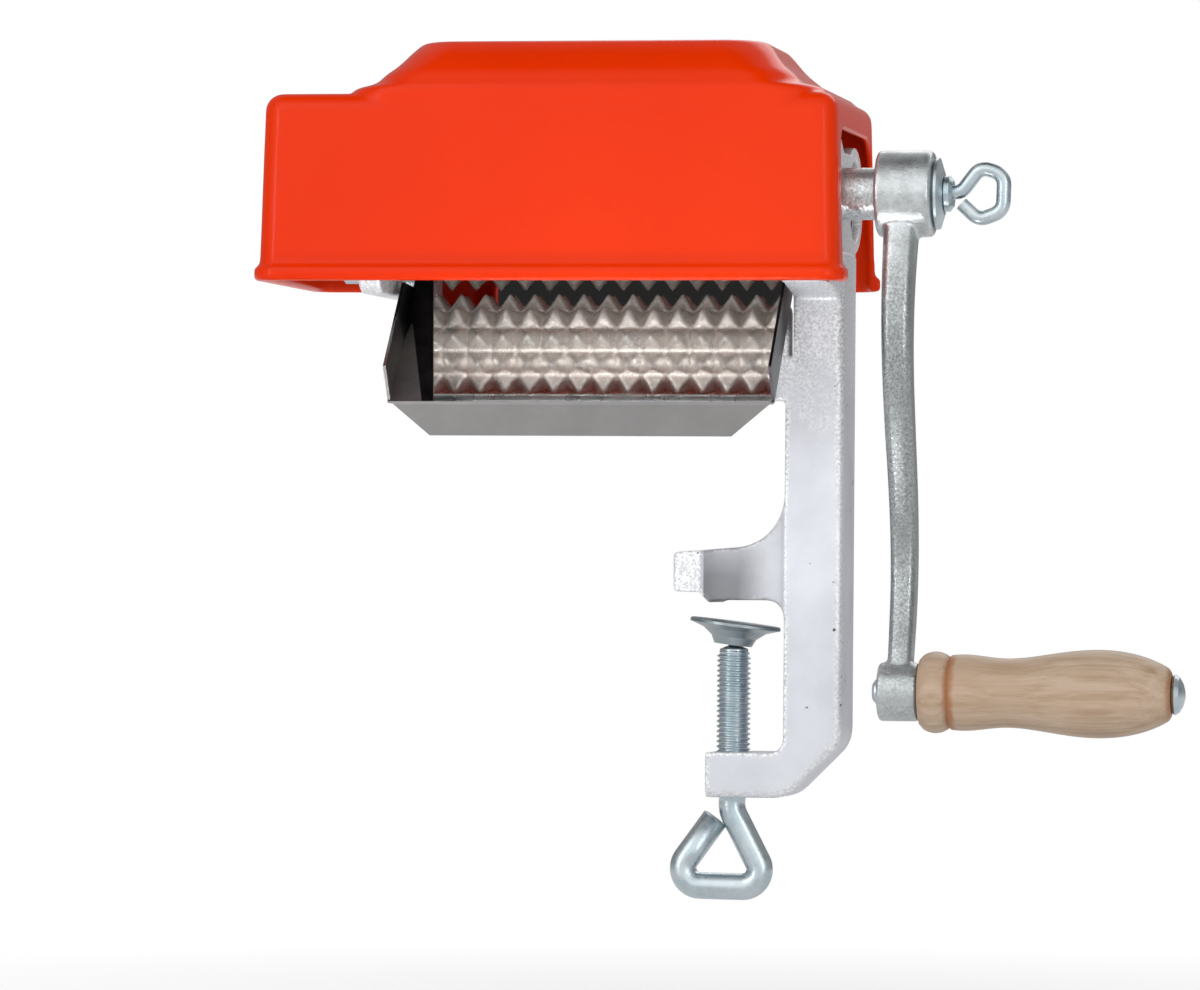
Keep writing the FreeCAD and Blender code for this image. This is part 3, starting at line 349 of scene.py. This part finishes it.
def mirror_finish(colours):
    """Polished sheet: a mirror bright fall, and painted reflections on it: a rougher lip painted grey, a
    left edge painted dark with a grey gusset, and a right edge painted dark.

    Widths are millimetres from the left edge. A slant is what a border gains on its way down the
    gusset's length.
    """
    flange_width, right_width, soft = 1.1, 1.3, 0.3
    band_width, band_slant = 10.0, 6.3
    gusset_width, gusset_slant = 2.5, 9.7
    corner_width, corner_slant = 2.0, -5.3
    facet_height, facet_slant = 14.4, 35.0

    made = Shader("polished_sheet")
    made.surface.inputs["Metallic"].default_value = 1.0
    base = tuple(colours.sheet)
    # Painted grey reflection: a darker copy of the sheet's colour, for the lip and the gusset
    painted_grey_reflection = shaded(base, 0.27)
    across, back, height = made.axes()
    low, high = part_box("exit_tray")
    inward = (across - low.x) * (1.0 / MM)
    down = ((back + height) * -SHEET_SLOPE + GUSSET_START) * (1.0 / GUSSET_LENGTH)
    off_sheet = (height - back - SHEET_RISE) * (SHEET_SLOPE / MM)

    def within(width, slant=0.0):
        """1 where the place is nearer the left edge than the width, 0 from 0.4 mm beyond."""
        return made.spread(inward - down * slant, width + 0.4, width)

    # Masks of the painted reflections: along the left edge, over the gusset, along the right edge and on
    # the lip
    on_flange = within(flange_width)
    side = made.maths("MAXIMUM", on_flange, within(band_width, band_slant))
    outside_corner = made.maths("SUBTRACT", 1.0, within(corner_width, corner_slant))
    gusset = made.spread(down, 0.0, 0.01) * within(gusset_width, gusset_slant) * outside_corner
    facet = made.spread(down * facet_slant - off_sheet, facet_height, facet_height + 0.6)
    gusset = made.maths("MAXIMUM", gusset, on_flange * facet)
    right_edge = high.x - right_width * MM
    right_side = made.spread(across, right_edge, right_edge + soft * MM)
    lip_top = low.z + LIP_HEIGHT + 0.7 * MM
    lip = made.spread(height, lip_top + soft * MM, lip_top)

    smudge = made.noise(55.0, 4.0, 0.7)
    patch = made.spread(smudge, 0.35, 0.7)
    # Painted dark reflection for the left band and the right edge
    dark = made.mix(patch, (0.010, 0.009, 0.011), (0.03, 0.027, 0.03))
    grey = made.mix(patch, painted_grey_reflection, shaded(base, 0.2))
    fall = made.mix(patch, base, shaded(base, 0.93))
    fall = made.mix(side, fall, made.mix(gusset, dark, grey))
    fall = made.mix(right_side, fall, dark)
    # The lip is painted grey; the rest keeps the mirror's colour with its painted edges
    made.set("Base Color", made.mix(lip, fall, made.mix(patch, painted_grey_reflection, shaded(painted_grey_reflection, 0.88))))
    matt = made.maths("MAXIMUM", lip * 0.42, made.maths("MAXIMUM", side, right_side) * 0.3)
    made.set("Roughness", made.maths("MAXIMUM", made.spread(smudge, 0.45, 0.75, 0.03, 0.08), matt))
    lines = made.noise(700.0, 2.0, 0.5, stretch=(0.04, 1.0, 1.0))
    made.set("Normal", made.bump(lines, 0.004 * MM, 0.1))
    return made


def polymer_finish():
    """Dark oil filled bearing polymer, finely speckled."""
    made = Shader("bearing_polymer")
    speck = made.noise(1300.0, 3.0, 0.7)
    dark, pale = (0.018, 0.018, 0.02), (0.05, 0.05, 0.052)
    made.set("Base Color", made.mix(made.spread(speck, 0.4, 0.65), dark, pale))
    made.set("Roughness", made.spread(speck, 0.3, 0.7, 0.38, 0.55))
    made.set("Normal", made.bump(speck, 0.03 * MM, 0.4))
    return made


# Mesh helpers

def make_piece(name, mesh, shader, body, node):
    """Puts a finished mesh on its body in place of a CAD node."""
    piece = bpy.data.objects.new(name, mesh)
    bpy.context.scene.collection.objects.link(piece)
    mesh.materials.clear()
    mesh.materials.append(shader.material)
    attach(piece, body)
    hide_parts(node)


def mark_edges(mesh):
    """Stores how sharply the surface bends, as the attribute edge: 0 flat or hollow, 1 an edge."""
    passes, sharpest = 2, 0.4 / MM
    count = len(mesh.vertices)
    places = numpy.empty(count * 3)
    mesh.vertices.foreach_get("co", places)
    places = places.reshape(-1, 3)
    normals = numpy.empty(count * 3)
    mesh.vertex_normals.foreach_get("vector", normals)
    normals = normals.reshape(-1, 3)
    ends = numpy.empty(len(mesh.edges) * 2, dtype=numpy.int64)
    mesh.edges.foreach_get("vertices", ends)
    first, second = ends.reshape(-1, 2).T
    step = places[second] - places[first]
    bend = ((normals[second] - normals[first]) * step).sum(1) / numpy.maximum((step * step).sum(1), 1e-12)
    near = numpy.bincount(first, minlength=count) + numpy.bincount(second, minlength=count)
    near = numpy.maximum(near, 1)
    bends = (numpy.bincount(first, bend, count) + numpy.bincount(second, bend, count)) / near
    for _ in range(passes):
        bends = (numpy.bincount(first, bends[second], count)
                 + numpy.bincount(second, bends[first], count)) / near
    layer = mesh.attributes.new("edge", "FLOAT", "POINT")
    layer.data.foreach_set("value", numpy.clip(bends / sharpest, 0.0, 1.0).astype(numpy.float32))


def softened(node, voxel, passes):
    """Copy of a solid whose edges are as soft as a casting's or a moulding's."""
    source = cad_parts[node]
    draft = bpy.data.objects.new(node + "_draft", source.data.copy())
    bpy.context.scene.collection.objects.link(draft)
    remesh = draft.modifiers.new("remesh", "REMESH")
    remesh.mode = "VOXEL"
    remesh.voxel_size = voxel
    smooth = draft.modifiers.new("smooth", "SMOOTH")
    smooth.iterations = passes
    smooth.factor = 0.5
    depsgraph = bpy.context.evaluated_depsgraph_get()
    mesh = bpy.data.meshes.new_from_object(draft.evaluated_get(depsgraph))
    bpy.data.objects.remove(draft)
    mesh.shade_smooth()
    mark_edges(mesh)
    return mesh


def grid_mesh(name, rings):
    """Skin over rings of points, each ring closed."""
    shape = bmesh.new()
    rows = [[shape.verts.new(point) for point in ring] for ring in rings]
    count = len(rings[0])
    for low, high in zip(rows, rows[1:]):
        for i in range(count):
            j = (i + 1) % count
            shape.faces.new((low[i], low[j], high[j], high[i]))
    bmesh.ops.recalc_face_normals(shape, faces=shape.faces)
    mesh = bpy.data.meshes.new(name)
    shape.to_mesh(mesh)
    shape.free()
    mesh.shade_smooth()
    return mesh


def toothed_mesh(node, sizes, row_turn, shift):
    """Roller with rows of hollow sided pyramids, turned and shifted as its solid is."""
    low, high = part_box(node)
    axis_y, axis_z = (low.y + high.y) / 2, (low.z + high.z) / 2
    start = low.x + sizes.left_shoulder
    pitch = sizes.tooth_pitch
    teeth = round((high.x - sizes.right_shoulder - start) / pitch)
    step = 2 * math.pi / sizes.tooth_rows
    steps = 12
    around = sizes.tooth_rows * steps
    rise = sizes.tip_radius - sizes.root_radius
    land, bend_along, bend_around = 0.06, 1.4, 1.2

    def ring(x, radius_at):
        points = []
        for i in range(around):
            turn = math.radians(-90.0 + row_turn) + i * step / steps
            radius = radius_at(i)
            points.append((x, axis_y + radius * math.cos(turn), axis_z + radius * math.sin(turn)))
        return points

    def slope(away, bend):
        return min(1.0, max(0.0, (1.0 - away) / (1.0 - land))) ** bend

    def plain(radius):
        return lambda i: radius

    rings = [ring(low.x, plain(sizes.roller_bore)), ring(low.x, plain(sizes.shoulder_radius)),
             ring(start, plain(sizes.shoulder_radius))]
    for k in range(teeth * steps + 1):
        across = (k / steps - shift) % 1.0
        beside = slope(2.0 * min(across, 1.0 - across), bend_along)

        def radius_at(i, beside=beside):
            turned = (i / steps) % 1.0
            between = slope(2.0 * min(turned, 1.0 - turned), bend_around)
            return sizes.root_radius + rise * min(beside, between)
        rings.append(ring(start + k * pitch / steps, radius_at))
    end = start + teeth * pitch
    rings += [ring(end, plain(sizes.shoulder_radius)), ring(high.x, plain(sizes.shoulder_radius)),
              ring(high.x, plain(sizes.roller_bore))]
    rings.append(rings[0])
    mesh = grid_mesh(node, rings)
    mesh.set_sharp_from_angle(angle=math.radians(50))
    # The attribute edge here marks the bottoms of the grooves between rows, where a painted highlight line
    # runs
    groove = mesh.attributes.new("edge", "FLOAT", "POINT")
    for i, vertex in enumerate(mesh.vertices):
        reach = math.hypot(vertex.co.y - axis_y, vertex.co.z - axis_z)
        beside = abs(i % around % steps - steps / 2) / (steps / 2)
        low_down = 1.0 if reach < sizes.root_radius + 0.25 * rise else 0.4
        groove.data[i].value = low_down * (1.0 - beside)
    return mesh


def threaded_mesh(node, sizes):
    """The clamp screw with a true helix in place of its solid's plain rings."""
    middle, reach, lowest = -40.0 * MM, 10.0 * MM, -70.0 * MM
    shape = bmesh.new()
    shape.from_mesh(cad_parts[node].data)
    crest = max(v.co.xy.length for v in shape.verts if abs(v.co.z - middle) < reach)
    ringed = [v.co.z for v in shape.verts
              if abs(v.co.xy.length - crest) < 0.01 * MM and v.co.z > lowest]
    pitch = sizes.thread_pitch
    low, high = min(ringed) - pitch * 0.4, max(ringed) + pitch * 0.4
    inside = [f for f in shape.faces if low < f.calc_center_median().z < high]
    bmesh.ops.delete(shape, geom=inside, context="FACES")
    count, profile = sizes.thread_steps, (0.0, 0.28, 0.66, 1.0, 1.0, 0.66, 0.28, 0.0)
    parts = len(profile)
    turns = math.ceil((high - low) / pitch) + 1
    root = crest - sizes.thread_depth
    rows = []
    for k in range(-parts, turns * parts):
        row = []
        for i in range(count):
            z = min(max(low + pitch * (k / parts + i / count), low), high)
            fade = min(1.0, (z - low) / pitch, (high - z) / pitch)
            radius = root + (crest - root) * profile[k % parts] * max(0.0, fade)
            turn = -2 * math.pi * i / count
            row.append(shape.verts.new((radius * math.cos(turn), radius * math.sin(turn), z)))
        rows.append(row)
    for k in range(len(rows) - 1):
        for i in range(count):
            if i + 1 < count:
                corners = (rows[k][i], rows[k][i + 1], rows[k + 1][i + 1], rows[k + 1][i])
            elif k + parts + 1 < len(rows):
                corners = (rows[k][i], rows[k + parts][0], rows[k + parts + 1][0], rows[k + 1][i])
            else:
                continue
            shape.faces.new(corners)
    bmesh.ops.remove_doubles(shape, verts=shape.verts, dist=0.002 * MM)
    bmesh.ops.recalc_face_normals(shape, faces=shape.faces)
    mesh = bpy.data.meshes.new(node + "_thread")
    shape.to_mesh(mesh)
    shape.free()
    mesh.shade_smooth()
    mesh.set_sharp_from_angle(angle=math.radians(60))
    return mesh


# Settings

def colour_setting(name, description, default):
    """Colour whose channels run from 0 to 1."""
    return FloatVectorProperty(name=name, description=description, subtype="COLOR",
                               default=default, min=0.0, max=1.0)


def length_setting(name, description, default, low, high):
    """Length with its limits, all given in millimetres."""
    return FloatProperty(name=name, description=description, default=default * MM, min=low * MM,
                         max=high * MM, unit="LENGTH", precision=5)


class TenderizerLooks(bpy.types.PropertyGroup):
    """Colours of the finishes."""

    cover: colour_setting("Cover", "Colour of the moulded cover", (0.85, 0.038, 0.0))
    frame_metal: colour_setting("Frame", "Colour of the silver casting", (0.72, 0.74, 0.79))
    crank_metal: colour_setting("Crank", "Colour of the bare grey casting", (0.33, 0.35, 0.355))
    roller_metal: colour_setting("Rollers", "Colour of the rollers", (0.80, 0.74, 0.69))
    zinc: colour_setting("Zinc", "Colour of the plated pieces", (0.60, 0.66, 0.68))
    wood: colour_setting("Wood", "Colour of the beech grip", (0.49, 0.38, 0.285))
    sheet: colour_setting("Tray", "Colour of the polished sheet", (0.96, 0.945, 0.935))


class TenderizerSizes(bpy.types.PropertyGroup):
    """Sizes of the surface detail."""

    casting_voxel: length_setting("Casting softness", "How round a casting's edges are", 0.8, 0.3, 3.0)
    thread_pitch: length_setting("Thread pitch", "Pitch of the clamp screw", 1.75, 0.5, 4.0)
    thread_depth: length_setting("Thread depth", "Depth of the clamp screw's thread", 0.95, 0.2, 2.0)
    thread_steps: IntProperty(name="Thread steps", description="Points round the thread", default=64,
                              min=16, max=256)
    tooth_pitch: length_setting("Tooth pitch", "Teeth along a roller", 8.85, 2.0, 30.0)
    tooth_rows: IntProperty(name="Tooth rows", description="Rows round a roller", default=12,
                            min=4, max=48)
    tip_radius: length_setting("Tip radius", "Roller's radius over its teeth", 21.2, 5.0, 100.0)
    root_radius: length_setting("Root radius", "Roller's radius between its teeth", 16.2, 4.0, 100.0)
    shoulder_radius: length_setting("Shoulder radius", "Radius of a roller's plain ends", 15.5, 4.0, 100.0)
    roller_bore: length_setting("Roller bore", "Radius of a roller's bore", 9.03, 2.0, 50.0)
    left_shoulder: length_setting("Left shoulder", "Plain length at a roller's left end", 0.5, 0.0, 20.0)
    right_shoulder: length_setting("Right shoulder", "Plain length at a roller's crank end", 5.6, 0.0, 20.0)


# Operators

class TENDERIZER_OT_castings(bpy.types.Operator):
    """Softens the frame and crank castings and gives all castings their grain"""

    bl_idname = "tenderizer.castings"
    bl_label = "Castings"

    def execute(self, context):
        looks = context.scene.tenderizer_looks
        voxel = context.scene.tenderizer_sizes.casting_voxel
        silver_cast = cast_finish("silver_casting", tuple(looks.frame_metal), frame_grain, grain=0.16,
                                  metallic=0.35, roughness=0.46, depth=0.76, chips=0.72, tone=jaw_shade)
        grey_cast = cast_finish("grey_casting", tuple(looks.crank_metal), even_grain, grain=0.2,
                                metallic=0.8, roughness=0.34, depth=0.7, chips=0.74, tone=bright_hubs)
        make_piece("cast_frame", softened("frame_casting", voxel, passes=5), silver_cast, "base",
                   "frame_casting")
        make_piece("cast_crank", softened("crank_arm", voxel * 0.8, passes=8), grey_cast, "drive",
                   "crank_arm")
        dress("left_end_plate", silver_cast)
        return {"FINISHED"}


class TENDERIZER_OT_rollers(bpy.types.Operator):
    """Cuts the rollers' hollow sided teeth and gives the rollers and gears their cast finish"""

    bl_idname = "tenderizer.rollers"
    bl_label = "Rollers and gears"

    def execute(self, context):
        metal = tuple(context.scene.tenderizer_looks.roller_metal)
        sizes = context.scene.tenderizer_sizes
        cast = cast_finish("roller_casting", metal, even_grain, grain=0.12, metallic=0.35, roughness=0.28,
                           depth=0.6, tone=painted_groove_highlights)
        half_row, half_tooth = 15.0, 0.5
        for name, body, turn, shift in (("drive_roller", "drive", half_row, half_tooth),
                                        ("driven_roller", "driven", 0.0, 0.0)):
            mesh = toothed_mesh(name, sizes, turn, shift)
            make_piece("cast_" + name, mesh, cast, body, name)
        gear_cast = cast_finish("gear_casting", shaded(metal, 0.72), even_grain, grain=0.08, metallic=0.9,
                                roughness=0.3)
        for name in ("drive_gear", "driven_gear"):
            dress(name, gear_cast)
        return {"FINISHED"}


class TENDERIZER_OT_cover(bpy.types.Operator):
    """Makes the moulded cover with its soft edges"""

    bl_idname = "tenderizer.cover"
    bl_label = "Cover"

    def execute(self, context):
        finish = cover_finish(context.scene.tenderizer_looks)
        make_piece("moulded_cover", softened("cover_shell", voxel=0.9 * MM, passes=10), finish, "cover",
                   "cover_shell")
        return {"FINISHED"}


class TENDERIZER_OT_tray(bpy.types.Operator):
    """Polishes the folded exit tray"""

    bl_idname = "tenderizer.tray"
    bl_label = "Exit tray"

    def execute(self, context):
        dress("exit_tray", mirror_finish(context.scene.tenderizer_looks))
        return {"FINISHED"}


class TENDERIZER_OT_steel(bpy.types.Operator):
    """Finishes shafts, rods, bushes and plated fasteners"""

    bl_idname = "tenderizer.steel"
    bl_label = "Shafts and fasteners"

    def execute(self, context):
        colour = tuple(context.scene.tenderizer_looks.zinc)
        even, turning_marks = (1.0, 1.0, 1.0), (1.0, 0.12, 0.12)
        zinc = plated_finish("bright_zinc", colour, roughness=0.3, streak=even)
        # A darker, slightly rougher copy of the zinc, for the clamp pad
        darker_zinc = plated_finish("darker_zinc", shaded(colour, 0.66), roughness=0.36, streak=even)
        turned = plated_finish("turned_steel", shaded(colour, 1.05), roughness=0.28, streak=turning_marks)
        neck_skin = cast_finish("neck_skin", shaded(context.scene.tenderizer_looks.crank_metal, 1.7),
                                even_grain, grain=0.1, metallic=0.7, roughness=0.34, depth=0.62)
        polymer = polymer_finish()
        dress("drive_shaft", neck_skin)
        dress("clamp_pad", darker_zinc)
        for name in ("driven_shaft", "tie_rod_front_low", "tie_rod_front_top", "tie_rod_tray",
                     "drive_gear_key", "driven_gear_key", "pad_ring"):
            dress(name, turned)
        for name in ("tie_rod_nuts", "drive_gear_washer", "driven_gear_washer", "drive_gear_nut",
                     "driven_gear_nut", "eye_washer", "eye_screw", "handle_pin"):
            dress(name, zinc)
        make_piece("threaded_clamp_screw", threaded_mesh("clamp_screw", context.scene.tenderizer_sizes),
                   zinc, "screw", "clamp_screw")
        for name in ("drive_bush_right", "driven_bush_right", "drive_bush_left", "driven_bush_left"):
            dress(name, polymer)
        return {"FINISHED"}


class TENDERIZER_OT_grip(bpy.types.Operator):
    """Finishes the turned wooden grip"""

    bl_idname = "tenderizer.grip"
    bl_label = "Grip"

    def execute(self, context):
        low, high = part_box("handle_grip")
        dress("handle_grip", wood_finish(context.scene.tenderizer_looks, low.x + BEAD_LENGTH, high.x))
        return {"FINISHED"}


class TENDERIZER_OT_stage(bpy.types.Operator):
    """Sets up the pale floor, the studio lights and the camera"""

    bl_idname = "tenderizer.stage"
    bl_label = "Stage"

    def execute(self, context):
        scene = context.scene
        scene.view_settings.view_transform = "Standard"
        pale_floor()
        pale_world(scene)
        studio_lights(scene)
        scene.camera = photo_camera(scene)
        return {"FINISHED"}


# Stage

def pale_floor():
    """Floor below the screw's lowest reach: white far away, shaded near the part, clear from below."""
    shaded_to, white_from, white_share, glossy_share = 0.1, 0.4, 0.72, 0.45
    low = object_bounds()[0][2] - CLAMP_TRAVEL
    bpy.ops.mesh.primitive_plane_add(size=30.0, location=(0.0, 0.0, low))
    floor = bpy.context.object
    floor.name = "floor"
    material = bpy.data.materials.new("pale_floor")
    material.use_nodes = True
    made = Graph(material.node_tree)
    camera = made.node("ShaderNodeLightPath", output="Is Camera Ray")
    glossy = made.node("ShaderNodeLightPath", output="Is Glossy Ray")
    place = made.node("ShaderNodeTexCoord", output="Object")
    away = made.node("ShaderNodeVectorMath", {"operation": "LENGTH"}, {0: place}, "Value")
    seen = made.maths("MAXIMUM", camera, glossy * glossy_share)
    share = made.spread(away, shaded_to, white_from, white_share, 1.0) * seen
    pale = made.node("ShaderNodeBsdfDiffuse", {}, {"Color": (0.92, 0.92, 0.93, 1.0)})
    white = made.node("ShaderNodeEmission", {}, {"Color": (1.0, 1.0, 1.0, 1.0), "Strength": 1.0})
    above = made.node("ShaderNodeMixShader", {}, {0: share, 1: pale, 2: white})
    below = made.node("ShaderNodeBsdfTransparent")
    from_below = made.node("ShaderNodeNewGeometry", output="Backfacing")
    both = made.node("ShaderNodeMixShader", {}, {0: from_below, 1: above, 2: below})
    made.node("ShaderNodeOutputMaterial", {}, {"Surface": both}, None)
    floor.data.materials.append(material)
    floor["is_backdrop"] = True


def pale_world(scene):
    """Soft surroundings, brightest in front and dark overhead; the camera sees them white."""
    world = bpy.data.worlds.new("studio")
    scene.world = world
    world.use_nodes = True
    made = Graph(world.node_tree)
    camera = made.node("ShaderNodeLightPath", output="Is Camera Ray")
    towards = made.node("ShaderNodeTexCoord", output="Generated")
    height = made.axis(towards, 2)
    front = made.spread(made.axis(towards, 1), -0.2, -0.98, 0.0, 1.35)
    overhead = made.spread(height, 0.90, 0.96, 1.0, 0.05)
    glow = (made.spread(height, -0.6, 0.7, 0.22, 0.5) + front) * overhead
    soft = made.node("ShaderNodeBackground", {}, {"Strength": glow})
    white = made.node("ShaderNodeBackground", {}, {"Color": (1.0, 1.0, 1.0, 1.0), "Strength": 1.0})
    blend = made.node("ShaderNodeMixShader", {}, {0: camera, 1: soft, 2: white})
    made.node("ShaderNodeOutputWorld", {}, {"Surface": blend}, None)


def area_light(scene, name, place, aim, size, watts, spread=180.0):
    """Rectangular lamp at a place, turned to its aim, with its spread in degrees."""
    data = bpy.data.lights.new(name, "AREA")
    data.spread = math.radians(spread)
    data.shape = "RECTANGLE"
    data.size, data.size_y = size
    data.energy = watts
    light = bpy.data.objects.new(name, data)
    scene.collection.objects.link(light)
    light.visible_camera = False
    light.location = place
    light.rotation_euler = (Vector(aim) - Vector(place)).to_track_quat("-Z", "Y").to_euler()


def studio_lights(scene):
    """Large lamps round the part, narrow strips for the metal, a small lamp for the rollers."""
    centre, rollers = (-0.02, 0.0, 0.05), (-0.05, -0.02, 0.12)
    area_light(scene, "key", (-0.9, -1.3, 1.1), centre, (1.0, 1.0), 3.2)
    area_light(scene, "fill", (1.3, -1.1, 0.5), centre, (0.9, 1.2), 1.3)
    area_light(scene, "left_strip", (-0.8, -1.0, 0.1), centre, (0.08, 0.8), 1.9)
    area_light(scene, "right_strip", (0.8, -0.9, 0.1), centre, (0.08, 0.8), 1.4)
    area_light(scene, "under_rollers", (-0.05, -0.12, -0.09), rollers, (0.16, 0.03), 0.041, 60.0)
    area_light(scene, "back", (0.3, 1.3, 1.0), centre, (1.4, 0.7), 5.0)


def photo_camera(scene):
    """Camera at the photograph's viewing angle, worked out from points of the object."""
    yaw, pitch, roll = math.radians(10.479), math.radians(0.707), math.radians(0.453)
    aim = Vector((-47.87, 0.0, 36.26)) * MM
    distance = 2361.9 * MM
    lens_pixels, image_pixels = 6762.4, 1200.0
    ahead = Vector((-math.sin(yaw) * math.cos(pitch), math.cos(yaw) * math.cos(pitch), math.sin(pitch)))
    level_right = Vector((math.cos(yaw), math.sin(yaw), 0.0))
    level_up = level_right.cross(ahead)
    right = level_right * math.cos(roll) + level_up * math.sin(roll)
    up = level_up * math.cos(roll) - level_right * math.sin(roll)
    data = bpy.data.cameras.new("photo_camera")
    data.sensor_fit = "HORIZONTAL"
    data.sensor_width = 36.0
    data.lens = data.sensor_width * lens_pixels / image_pixels
    data.clip_start, data.clip_end = 0.05, 60.0
    camera = bpy.data.objects.new("photo_camera", data)
    scene.collection.objects.link(camera)
    turn = Matrix((right, up, -ahead)).transposed()
    camera.matrix_world = Matrix.Translation(aim - ahead * distance) @ turn.to_4x4()
    return camera


class TENDERIZER_PT_panel(bpy.types.Panel):
    """Lists the pieces of the tenderizer and their settings"""

    bl_idname = "TENDERIZER_PT_panel"
    bl_label = "Tenderizer"
    bl_space_type = "VIEW_3D"
    bl_region_type = "UI"
    bl_category = "Tenderizer"

    def draw(self, context):
        layout = self.layout
        for settings in (context.scene.tenderizer_looks, context.scene.tenderizer_sizes):
            for name in settings.__annotations__:
                layout.prop(settings, name)
        for operator in OPERATORS:
            layout.operator(operator.bl_idname)


OPERATORS = (TENDERIZER_OT_castings, TENDERIZER_OT_rollers, TENDERIZER_OT_cover, TENDERIZER_OT_tray,
             TENDERIZER_OT_steel, TENDERIZER_OT_grip, TENDERIZER_OT_stage)
CLASSES = (TenderizerLooks, TenderizerSizes, *OPERATORS, TENDERIZER_PT_panel)


def register():
    """Adds the settings, the operators and the panel to Blender."""
    for each in CLASSES:
        bpy.utils.register_class(each)
    bpy.types.Scene.tenderizer_looks = PointerProperty(type=TenderizerLooks)
    bpy.types.Scene.tenderizer_sizes = PointerProperty(type=TenderizerSizes)


def unregister():
    """Takes them out again."""
    del bpy.types.Scene.tenderizer_sizes
    del bpy.types.Scene.tenderizer_looks
    for each in reversed(CLASSES):
        bpy.utils.unregister_class(each)


def main():
    """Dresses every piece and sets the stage."""
    register()
    bpy.ops.tenderizer.castings()
    bpy.ops.tenderizer.rollers()
    bpy.ops.tenderizer.cover()
    bpy.ops.tenderizer.tray()
    bpy.ops.tenderizer.steel()
    bpy.ops.tenderizer.grip()
    bpy.ops.tenderizer.stage()


if __name__ == "__main__":
    main()
